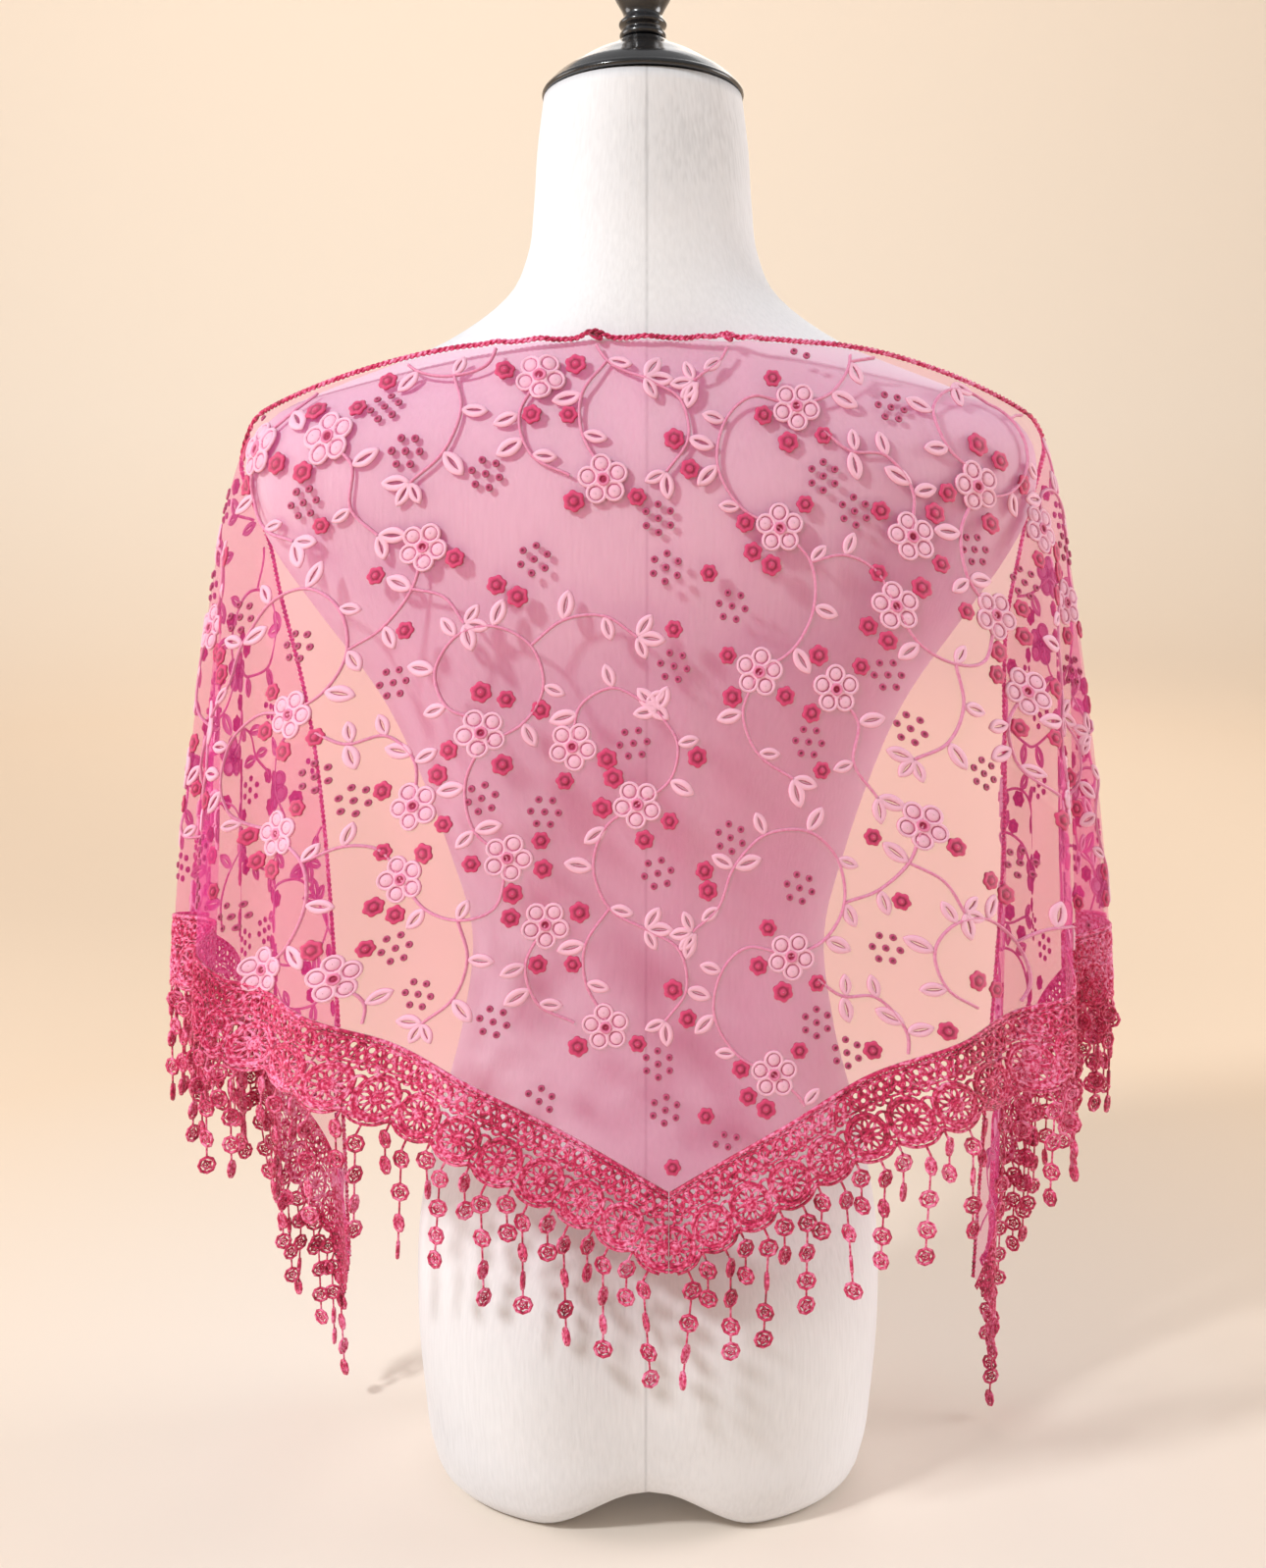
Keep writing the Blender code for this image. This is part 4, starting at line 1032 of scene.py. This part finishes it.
VALLEY_RINGS = table(
    "radius points aside out half_width height",
    (0.0035, 14, 0.0, GAP_OUT - 0.0006, 0.00085, 0.0014),
    (0.0028, 12, 0.0, GAP_OUT + 0.0070, 0.00080, 0.0013),
    (0.0019, 10, -0.0032, GAP_OUT + 0.0118, 0.00065, 0.0012),
    (0.0019, 10, 0.0032, GAP_OUT + 0.0118, 0.00065, 0.0012),
)
LONG_CORDS = table(
    "out sway length half_width height",
    (0.0012, 0.0, 1.0, 0.0011, 0.0016),
    (0.0036, 0.0, 1.0, 0.0008, 0.0013),
    (0.0142, 0.0, 1.0, 0.0006, 0.0012),
    (0.0024, 0.0012, 0.0034, 0.0006, 0.0015),
    (0.0090, 0.0040, 0.0083, 0.0007, 0.0016),
)
LACE_START = -0.003
LACE_END = HEM_LENGTH - 0.001
LACE_STEP = 0.0017
PICOT_START = -0.023
PICOT_STEP = 0.0015
PICOT_INSET = 0.0006
PICOT_SWAY = 0.0005
PICOT_LENGTH = 0.0036
PICOT_HALF_WIDTH = 0.0009
PICOT_HEIGHT = 0.0014


def scallop_reach(along):
    """Reach of the lace edge between its valleys."""
    share = np.mod(along / LACE_PITCH, 1.0)
    return LACE_VALLEY + (LACE_WIDTH - LACE_VALLEY) * np.sin(math.pi * share) ** 0.6


def medallion_cords():
    """Closed cords of one repeat, measured from its middle: flat path, half width and height."""
    cords = []
    for ring in MEDALLION_RINGS:
        path = circle(ring.radius, ring.points, (0.0, MEDALLION_OUT), ring.scallops, ring.depth)
        cords.append((path, ring.half_width, ring.height))
    for index in range(SPOKES):
        angle = index * 2 * math.pi / SPOKES
        way = np.array([math.cos(angle), math.sin(angle)])
        aside = np.array([-way[1], way[0]]) * SPOKE_BULGE
        foot = way * SPOKE_FOOT + [0.0, MEDALLION_OUT]
        tip = way * SPOKE_TIP + [0.0, MEDALLION_OUT]
        middle = (tip + foot) / 2
        loop = smooth_path((foot, middle + aside, tip, middle - aside), SPOKE_STEP, True)
        cords.append((loop, SPOKE_HALF_WIDTH, SPOKE_HEIGHT))
    for index in range(MESH_COLUMNS):
        x = (index - MESH_COLUMNS // 2) * LACE_PITCH / MESH_COLUMNS
        wobble = MESH_WOBBLE * math.sin(index * 2.1)
        for ring in MESH_RINGS:
            if ring.skips_middle and index == MESH_COLUMNS // 2:
                continue
            centre = (x + ring.aside + ring.sway * wobble, ring.out + ring.lift * wobble)
            cords.append((circle(ring.radius, ring.points, centre), ring.half_width, ring.height))
    for ring in VALLEY_RINGS:
        path = circle(ring.radius, ring.points, (LACE_PITCH / 2 + ring.aside, ring.out))
        cords.append((path, ring.half_width, ring.height))
    return cords


def make_lace(name, side, cloth, material):
    """The corded band along one lower edge, mitred at the centre back."""
    build = Build()
    fill = round_motif(FILL_LOOPS, FILL_POINTS)
    core = round_motif(CORE_LOOPS, CORE_POINTS)
    cords = medallion_cords()

    def to_flat(along, out):
        limit = -out * HEM_SIN / HEM_COS + SEAM_GAP
        return hem_to_flat(side, np.maximum(along, limit), out)

    for index in range(-1, LACE_REPEATS):
        middle = (index + 0.5) * LACE_PITCH
        for path, half_width, height in cords:
            shifted = path + [middle, 0.0]
            if shifted[:, 0].max() < LACE_END:
                lay_cord(build, cloth, shifted, half_width, height, to_flat, True)
        if index < LACE_REPEATS - 1:
            lay_motif(build, cloth, moved(fill, middle, MEDALLION_OUT), to_flat)
            lay_motif(build, cloth, moved(core, middle, MEDALLION_OUT), to_flat)
    along = np.arange(LACE_START, LACE_END, LACE_STEP)
    for cord in LONG_CORDS:
        out = cord.out + cord.sway * np.sin(along * 2 * math.pi / cord.length)
        lay_cord(build, cloth, np.column_stack([along, out]), cord.half_width, cord.height, to_flat)
    edge = np.arange(PICOT_START, LACE_END, PICOT_STEP)
    picots = scallop_reach(edge) - PICOT_INSET + PICOT_SWAY * np.sin(edge * 2 * math.pi / PICOT_LENGTH)
    lay_cord(build, cloth, np.column_stack([edge, picots]), PICOT_HALF_WIDTH, PICOT_HEIGHT, to_flat)
    item = build.piece("lace_" + name, material)
    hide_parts("lace_border_" + name)
    return item


# Fringe: tassels of lace rings on threads, sewn to a thin strip along the lace's edge

STRIP_WIDTH = 0.0026
STRIP_THREAD = 0.0009
STRIP_STEP = 0.0022
STRIP_REACHES = (LACE_VALLEY, LACE_SHOULDER, LACE_WIDTH, LACE_SHOULDER)
DOWN = np.array([0.0, 0.0, -1.0])
ROOT_REACH = 0.0045
LONG_RINGS = (0.010, 0.027, 0.043, 0.057)
SHORT_RINGS = (0.009, 0.024)
LINK_THREAD = 0.00055
ROOT_THREAD = LINK_THREAD * 1.2
ROOT_STEP = 0.0016
LINK_STEP = 0.003
TASSEL_SWAY = 0.045
OUTWARD_SWAY = 0.6
RING_TURN = 0.55
EDGE_ON_SHARE = 0.16
EDGE_ON_TURN = 1.2

# A ring of the tassels: its scalloped rim, the flower in it and the spokes between them
RING_ANGLES = full_turn(16)
RING_RADIUS = 0.0042
RING_REACH = RING_RADIUS * (1 + 0.05 * np.cos(8 * RING_ANGLES))
RING_THREAD = 0.00095
FLOWER_REACH = 0.0022 * (1 + 0.22 * np.cos(5 * RING_ANGLES))
FLOWER_THREAD = 0.0006
RING_SPOKES = 5
SPOKE_STOPS = np.array([0.0002, 0.0020, RING_RADIUS])[:, None]
SPOKE_THREAD = 0.00045


def strand_rings(index, is_long):
    """Ring distances of one tassel, a little uneven from tassel to tassel."""
    rings = LONG_RINGS if is_long else SHORT_RINGS
    stretch = 1 + 0.05 * math.sin(index * 2.3) + 0.03 * math.sin(index * 0.9 + 1.0)
    return [distance * stretch for distance in rings]


def add_ring(build, centre, across, down, turn):
    """A lace ring with a small flower in it, hanging by its top."""
    facing = np.cross(across, down)
    across = across * math.cos(turn) + facing * math.sin(turn)
    ups = np.cross(across, down)[None, :]
    wheel_x, wheel_y = np.cos(RING_ANGLES), np.sin(RING_ANGLES)
    for reach, thread, sides in ((RING_REACH, RING_THREAD, 5), (FLOWER_REACH, FLOWER_THREAD, 4)):
        path = centre + across * (reach * wheel_x)[:, None] + down * (reach * wheel_y)[:, None]
        build.add(*tube(path, thread, sides, True, np.repeat(ups, len(path), axis=0)))
    for spoke in range(RING_SPOKES):
        angle = spoke * 2 * math.pi / RING_SPOKES
        path = centre + (across * math.cos(angle) + down * math.sin(angle)) * SPOKE_STOPS
        build.add(*tube(path, SPOKE_THREAD, 3, False, np.repeat(ups, len(path), axis=0)))


def make_fringe(name, side, cloth, material, seed):
    """Long and short tassels by turns, hanging from the strip."""
    random = np.random.default_rng(seed)
    build = Build()
    columns = range(-3, 4 * LACE_REPEATS + 1)
    along = np.array([index * LACE_PITCH / 4 for index in columns])
    outs = np.array([STRIP_REACHES[index % 4] for index in columns])
    inner_s, inner_d = hem_to_flat(side, along, outs + SEAM_GAP)
    outer_s, outer_d = hem_to_flat(side, along, outs + SEAM_GAP + STRIP_WIDTH)
    inner = cloth.lay(inner_s, inner_d)
    outer = cloth.lay(outer_s, outer_d)
    facing = cloth.facing(outer_s, outer_d)
    fine = smooth_path((inner + outer) / 2, STRIP_STEP)
    build.add(*tube(fine, STRIP_THREAD, 5))
    for place in range(1, len(columns) - 1):
        index = columns[place]
        if index % 2:
            continue
        outward = outer[place] - inner[place]
        outward = outward / np.linalg.norm(outward)
        start = outer[place] + outward * ROOT_REACH
        rings = strand_rings(index, index % 4 == 2)
        out = facing[place] * [1.0, 1.0, 0.0]
        out = out / (np.linalg.norm(out) + 1e-9)
        across = np.cross(DOWN, out)
        sway = random.normal(0.0, TASSEL_SWAY, 2)
        down = DOWN + across * sway[0] + out * abs(sway[1]) * OUTWARD_SWAY
        down = down / np.linalg.norm(down)
        centres = [start + down * (distance - ROOT_REACH) for distance in rings]
        stops = [outer[place] - outward * 0.002, start - outward * 0.001 + down * 0.001]
        stops.append(centres[0] - down * RING_RADIUS)
        build.add(*tube(smooth_path(stops, ROOT_STEP), ROOT_THREAD, 4))
        for number, centre in enumerate(centres):
            turn = random.normal(0.0, RING_TURN)
            if random.random() < EDGE_ON_SHARE:
                turn = random.choice([-EDGE_ON_TURN, EDGE_ON_TURN])
            add_ring(build, centre, across, down, turn)
            if number + 1 < len(centres):
                link = np.array([centre + down * RING_RADIUS, centres[number + 1] - down * RING_RADIUS])
                build.add(*tube(smooth_path(link, LINK_STEP), LINK_THREAD, 4))
    item = build.piece("tassels_" + name, material)
    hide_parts("fringe_" + name)
    return item


# Braid along the top edge

BRAID_STEP = 0.0009
BRAID_TWIST = 0.0058
BRAID_OUT = 0.0013
BRAID_SWAY = 0.0008
BRAID_RISE = 0.0009
BRAID_RISE_SWAY = 0.0006
BRAID_THREAD = 0.00082
BUNCH_PUSH = 0.0004
BUNCH_REACH = 0.070
BUNCH_LENGTH = 0.031
BUNCH_RISE = 0.8

# Tufts at the nape, where the edge bunches: flat place, push beyond the edge and width
NAPE_TUFTS = table(
    "place push width",
    (-0.035, -0.0022, 0.0055),
    (0.029, -0.0016, 0.0050),
)
TUFT_THREAD = 0.0009


def tuft_path(cloth, tuft):
    """A thread wound three times round its place, unevenly."""
    turn = np.linspace(0, 6 * math.pi, 60)
    reach = 0.0022 - 0.0001 * turn
    s = tuft.place + tuft.width * 0.5 * np.cos(turn) * (0.6 + 0.4 * np.sin(turn * 0.37))
    d = -0.0008 + tuft.push * 0.5 + reach * np.sin(turn * 1.13)
    return cloth.lay(s, d, 0.0016 + 0.0010 * np.sin(turn * 0.71))


def make_braid(cloth, material):
    """Two cords twisted round each other, with small tufts where the edge bunches at the nape."""
    build = Build()
    tip = TOP_EDGE_HALF - TIP_CUT
    s = np.arange(-tip, tip, BRAID_STEP)
    bunch = BUNCH_PUSH * bump(s, BUNCH_REACH) * np.sin(s * 2 * math.pi / BUNCH_LENGTH)
    for tuft in NAPE_TUFTS:
        bunch = bunch + tuft.push * bump(s - tuft.place, tuft.width)
    for phase in (0.0, math.pi):
        twist = s * 2 * math.pi / BRAID_TWIST + phase
        d = -BRAID_OUT + BRAID_SWAY * np.cos(twist) + bunch
        height = BRAID_RISE + BRAID_RISE_SWAY * np.sin(twist) + np.abs(bunch) * BUNCH_RISE
        build.add(*tube(cloth.lay(s, d, height), BRAID_THREAD, 5))
    for tuft in NAPE_TUFTS:
        build.add(*tube(tuft_path(cloth, tuft), TUFT_THREAD, 5))
    item = build.piece("top_edge_braid_cords", material)
    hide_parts("top_edge_braid")
    return item


# Materials

def srgb(red, green, blue):
    """Linear colour of a screen colour given from 0 to 255."""
    values = []
    for value in (red, green, blue):
        value = value / 255
        values.append(value / 12.92 if value <= 0.04045 else ((value + 0.055) / 1.055) ** 2.4)
    return (*values, 1.0)


class Nodes:
    """Short names for making the nodes of one material."""

    def __init__(self, name):
        self.material = bpy.data.materials.new(name)
        self.material.use_nodes = True
        self.tree = self.material.node_tree
        self.shader = self.tree.nodes["Principled BSDF"]

    def add(self, kind, **values):
        node = self.tree.nodes.new(kind)
        for name, value in values.items():
            if hasattr(node, name):
                setattr(node, name, value)
            else:
                node.inputs[name.replace("_", " ")].default_value = value
        return node

    def join(self, source, target):
        self.tree.links.new(source, target)

    def ramp(self, source, stops):
        node = self.add("ShaderNodeValToRGB")
        while len(node.color_ramp.elements) < len(stops):
            node.color_ramp.elements.new(0.5)
        for element, (place, colour) in zip(node.color_ramp.elements, stops):
            element.position = place
            element.color = colour
        self.join(source, node.inputs["Fac"])
        return node.outputs["Color"]

    def noise(self, vector, scale, detail=3.0):
        node = self.add("ShaderNodeTexNoise", Scale=scale, Detail=detail)
        self.join(vector, node.inputs["Vector"])
        return node.outputs["Fac"]

    def bump(self, height, strength, distance):
        node = self.add("ShaderNodeBump", Strength=strength, Distance=distance)
        self.join(height, node.inputs["Height"])
        self.join(node.outputs["Normal"], self.shader.inputs["Normal"])

    def math(self, operation, *values):
        node = self.add("ShaderNodeMath", operation=operation)
        for slot, value in zip(node.inputs, values):
            if isinstance(value, (int, float)):
                slot.default_value = value
            else:
                self.join(value, slot)
        return node.outputs["Value"]

    def span(self, value, low, high, to_low, to_high):
        node = self.add("ShaderNodeMapRange")
        for name, number in (("From Min", low), ("From Max", high), ("To Min", to_low), ("To Max", to_high)):
            node.inputs[name].default_value = number
        self.join(value, node.inputs["Value"])
        return node.outputs["Result"]

    def finish(self, colour, roughness, sheen=0.0):
        self.join(colour, self.shader.inputs["Base Color"])
        self.shader.inputs["Roughness"].default_value = roughness
        self.shader.inputs["Sheen Weight"].default_value = sheen
        return self.material

    def thread_uv(self):
        return self.add("ShaderNodeUVMap", uv_map="thread").outputs["UV"]

    def place(self):
        return self.add("ShaderNodeTexCoord").outputs["Object"]


def form_material():
    """White jersey stretched over a hard form, with fine upright ribs and a seam down its middle."""
    nodes = Nodes("white_jersey")
    place = nodes.place()
    patches = nodes.noise(place, 9.0, 1.0)
    stretch = nodes.add("ShaderNodeMapping")
    stretch.inputs["Scale"].default_value = (1.0, 1.0, 0.10)
    nodes.join(place, stretch.inputs["Vector"])
    knit = nodes.noise(stretch.outputs["Vector"], 620.0, 1.0)
    apart = nodes.add("ShaderNodeSeparateXYZ")
    nodes.join(place, apart.inputs["Vector"])
    aside = nodes.math("ABSOLUTE", nodes.math("ADD", apart.outputs["X"], ORIGIN_X - HIP_SHIFT * 0.5))
    seam = nodes.span(aside, 0.0002, 0.0014, 0.55, 1.0)
    shade = nodes.math("MULTIPLY", nodes.math("MULTIPLY_ADD", knit, 0.35, patches), seam)
    dark, middle, pale = srgb(192, 194, 199), srgb(225, 227, 232), srgb(240, 242, 247)
    colour = nodes.ramp(shade, ((0.2, dark), (0.5, middle), (0.85, pale)))
    nodes.bump(knit, 0.35, 0.0004)
    return nodes.finish(colour, 0.72, 0.12)


def black_material():
    """Gloss black paint with a faint unevenness."""
    nodes = Nodes("gloss_black")
    wear = nodes.noise(nodes.place(), 60.0)
    colour = nodes.ramp(wear, ((0.35, srgb(16, 16, 18)), (0.75, srgb(34, 34, 37))))
    nodes.join(colour, nodes.shader.inputs["Base Color"])
    nodes.join(nodes.span(wear, 0.0, 1.0, 0.16, 0.34), nodes.shader.inputs["Roughness"])
    nodes.shader.inputs["Coat Weight"].default_value = 0.6
    nodes.shader.inputs["Coat Roughness"].default_value = 0.10
    return nodes.material


def net_material(band):
    """Sheer pink tulle: see-through, with a fine mesh in its colour."""
    nodes = Nodes(band.name)
    cells = nodes.add("ShaderNodeTexVoronoi", voronoi_dimensions="2D", Scale=850.0)
    nodes.join(nodes.thread_uv(), cells.inputs["Vector"])
    hole, thread = srgb(252, 84, 186), srgb(242, 38, 152)
    nodes.shader.inputs["Alpha"].default_value = band.alpha
    return nodes.finish(nodes.ramp(cells.outputs["Distance"], ((0.15, hole), (0.6, thread))), 0.75, 0.2)


def thread_material(name, dark, light, stitches):
    """Satin-stitched thread: fine cross stripes in its relief and shades of one colour."""
    nodes = Nodes(name)
    stripes = nodes.add("ShaderNodeTexWave", Scale=stitches, Distortion=1.5, Detail=1.0)
    nodes.join(nodes.thread_uv(), stripes.inputs["Vector"])
    speckle = nodes.noise(nodes.place(), 650.0, 2.0)
    shade = nodes.math("MULTIPLY", stripes.outputs["Fac"], speckle)
    nodes.bump(shade, 0.5, 0.0003)
    return nodes.finish(nodes.ramp(shade, ((0.05, dark), (0.5, light))), 0.5, 0.3)


def motif_material(name, loops, stops):
    """Satin stitch whose colour runs from a motif's edge, loop by loop, to its middle; the stops darken its
    rim and sunken loops as painted shade.
    """
    nodes = Nodes(name)
    apart = nodes.add("ShaderNodeSeparateXYZ")
    nodes.join(nodes.thread_uv(), apart.inputs["Vector"])
    inward = nodes.span(apart.outputs["Y"], 0.0, loops - 1.0, 0.0, 1.0)
    speckle = nodes.noise(nodes.place(), 900.0, 2.0)
    uneven = nodes.math("MULTIPLY_ADD", nodes.math("SUBTRACT", speckle, 0.5), 0.16, inward)
    stitches = nodes.add("ShaderNodeTexWave", Scale=16.0, Distortion=1.0, Detail=1.0)
    nodes.join(nodes.thread_uv(), stitches.inputs["Vector"])
    nodes.bump(stitches.outputs["Fac"], 0.4, 0.0003)
    stops = [(place / (loops - 1.0), colour) for place, colour in stops]
    return nodes.finish(nodes.ramp(uneven, stops), 0.48, 0.3)


def leaf_material():
    # Painted shade: the edge colour on the rim loop and the slit colour on the sunken middle loops.
    edge, pale, slit = srgb(206, 62, 122), srgb(255, 196, 224), srgb(176, 60, 104)
    stops = ((0.0, edge), (0.9, pale), (3.0, pale), (3.7, slit), (4.0, slit))
    return motif_material("leaf_thread", len(LEAF_LOOPS), stops)


def petal_material():
    # Painted shade: the edge colour on the rim loop and the groove colour on the sunken loop inside the
    # petal's rim.
    edge, pale, groove_shade = srgb(200, 56, 118), srgb(255, 198, 226), srgb(204, 70, 130)
    stops = ((0.0, edge), (1.0, pale), (3.0, pale), (3.9, groove_shade), (5.0, pale))
    return motif_material("petal_thread", len(PETAL_LOOPS), stops)


def flower_centre_material():
    # Painted shade: the edge colour on the rim loop and the hollow colour on the sunken middle.
    edge, ring, hollow_shade = srgb(170, 34, 86), srgb(246, 140, 186), srgb(186, 44, 98)
    stops = ((0.0, edge), (1.0, ring), (2.6, ring), (3.6, hollow_shade), (6.0, hollow_shade))
    return motif_material("flower_centre_thread", len(CENTRE_LOOPS), stops)


def floret_material():
    # Painted shade: the edge colour on the rim loop and the groove colour on the sunken loop between rim and
    # middle.
    edge, thread, groove_shade = srgb(150, 18, 66), srgb(226, 62, 122), srgb(158, 22, 72)
    stops = ((0.0, edge), (1.2, thread), (2.2, thread), (3.0, groove_shade), (4.4, thread))
    return motif_material("floret_thread", len(FLORET_LOOPS), stops)


def dot_material():
    # Painted shade: the edge colour on the rim loop and again on the sunken middle loops.
    edge, thread = srgb(138, 30, 72), srgb(206, 78, 130)
    stops = ((0.0, edge), (1.2, thread), (2.2, thread), (3.4, edge))
    return motif_material("dot_thread", len(DOT_LOOPS), stops)


def lace_material(name, dark, middle, light):
    """Corded lace, speckled from crimson to bright pink by its twisted thread and by painted shade and
    painted highlight spread by noise.
    """
    nodes = Nodes(name)
    place = nodes.place()
    speckle = nodes.noise(place, 480.0, 2.0)
    patches = nodes.noise(place, 26.0, 2.0)
    shade = nodes.math("MULTIPLY_ADD", patches, 0.5, speckle)
    nodes.bump(speckle, 0.6, 0.0004)
    colour = nodes.ramp(shade, ((0.50, dark), (0.73, middle), (0.94, light)))
    return nodes.finish(colour, 0.45, 0.2)


def stage_material():
    """Pale beige paper, whiter close to the form."""
    nodes = Nodes("pale_stage")
    far = nodes.add("ShaderNodeVectorMath", operation="LENGTH")
    nodes.join(nodes.place(), far.inputs[0])
    away = nodes.span(far.outputs["Value"], 0.0, 5.0, 0.0, 1.0)
    near, floor, wall = srgb(240, 229, 217), srgb(243, 219, 192), srgb(243, 229, 212)
    colour = nodes.ramp(away, ((0.05, near), (0.16, floor), (0.5, floor), (0.85, wall)))
    return nodes.finish(colour, 0.9)


# Stage, light and camera

STAGE_SIDES = 96
STAGE_DROP = 0.0005
STAGE_RINGS = (0.02, 1.5, 3.0)
STAGE_FLAT = 3.0
STAGE_CURVE = 2.0
STAGE_CURVE_STEPS = 16
STAGE_TOP = 3.2
MIDDLE = (0.0, 0.0, 0.42)
COOL = (0.98, 0.98, 1.0)
WARM = (1.0, 0.98, 0.96)
LIGHTS = table(
    "name place target size power colour",
    ("key", (-1.6, -1.4, 2.1), MIDDLE, 0.32, 43.0, (0.97, 0.985, 1.0)),
    ("left", (-2.2, 0.3, 1.0), MIDDLE, 1.2, 12.0, COOL),
    ("right", (2.2, 0.3, 0.9), MIDDLE, 1.2, 24.0, COOL),
    ("back", (0.4, 2.2, 1.7), MIDDLE, 1.6, 8.0, WARM),
    ("wall", (-0.5, 2.4, 2.7), (0.0, 5.0, 1.5), 2.4, 42.0, WARM),
)


def make_stage():
    """A round pale floor that sweeps up into a wall far from the part on every side."""
    turns = full_turn(STAGE_SIDES)
    profile = [(radius, -STAGE_DROP) for radius in STAGE_RINGS]
    for angle in np.linspace(0, math.pi / 2, STAGE_CURVE_STEPS)[1:]:
        reach = STAGE_FLAT + STAGE_CURVE * math.sin(angle)
        profile.append((reach, STAGE_CURVE - STAGE_CURVE * math.cos(angle)))
    profile.append((STAGE_FLAT + STAGE_CURVE, STAGE_TOP))
    points = []
    for radius, height in profile:
        level = np.full(STAGE_SIDES, height)
        points.append(np.column_stack([radius * np.cos(turns), radius * np.sin(turns), level]))
    faces = grid_faces(len(profile), STAGE_SIDES, False, True)
    mesh = bpy.data.meshes.new("stage")
    mesh.from_pydata(np.vstack(points).tolist(), [], faces.tolist())
    mesh.materials.append(stage_material())
    mesh.shade_smooth()
    add_object("stage", mesh)


def make_lights():
    """Soft area lights and an even surrounding light."""
    for light in LIGHTS:
        lamp = bpy.data.lights.new(light.name, "AREA")
        lamp.shape = "DISK"
        lamp.size = light.size
        lamp.energy = light.power
        lamp.color = light.colour
        item = add_object(light.name, lamp)
        item.location = light.place
        item.rotation_mode = "QUATERNION"
        aim = Vector(light.target) - Vector(light.place)
        item.rotation_quaternion = aim.to_track_quat("-Z", "Y")
    world = bpy.data.worlds.new("soft_studio")
    world.use_nodes = True
    background = world.node_tree.nodes["Background"]
    background.inputs["Color"].default_value = (0.985, 0.985, 1.0, 1.0)
    background.inputs["Strength"].default_value = 0.44
    bpy.context.scene.world = world
    bpy.context.scene.view_settings.view_transform = "Standard"


def make_camera():
    """A camera behind the form, tipped down a little."""
    lens = bpy.data.cameras.new("camera")
    lens.lens = CAMERA_LENS
    lens.sensor_width = 36.0
    lens.sensor_fit = "AUTO"
    item = add_object("camera", lens)
    item.location = CAMERA_PLACE
    item.rotation_euler = (CAMERA_PITCH, 0.0, 0.0)
    bpy.context.scene.camera = item


# The two halves of the lace and fringe: name, side of the centre back and seed of the tassels' sway
SIDES = (("right", 1, 3), ("left", -1, 8))


def corners(box):
    return [list(box[0]), list(box[1])]


def main():
    for item in list(bpy.data.objects):
        bpy.data.objects.remove(item, do_unlink=True)
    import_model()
    make_camera()
    make_lights()
    make_stage()
    make_form(form_material())
    black = black_material()
    make_turned("turned_cap", "neck_cap", CAP_PROFILE, black)
    make_turned("turned_finial", "finial", FINIAL_PROFILE, black)
    cloth = Cloth(*form_mesh())
    net = make_net(cloth)
    vine = thread_material("vine_thread", srgb(220, 100, 154), srgb(252, 188, 220), 700.0)
    going = [make_vines(cloth, vine), make_leaves(cloth, leaf_material())]
    going.append(make_petals(cloth, petal_material()))
    going.append(make_flower_centres(cloth, flower_centre_material()))
    florets, clusters = clear_places()
    going += [make_florets(cloth, florets, floret_material()), make_dots(cloth, clusters, dot_material())]
    # The dark and light colours of the lace and rings include painted shade and painted highlight.
    lace = lace_material("deep_pink_lace", srgb(136, 4, 46), srgb(222, 32, 102), srgb(255, 158, 204))
    fringe = lace_material("deep_pink_rings", srgb(132, 4, 44), srgb(214, 32, 96), srgb(252, 140, 186))
    going.append(make_braid(cloth, lace))
    for name, side, seed in SIDES:
        going.append(make_lace(name, side, cloth, lace))
        going.append(make_fringe(name, side, cloth, fringe, seed))


main()
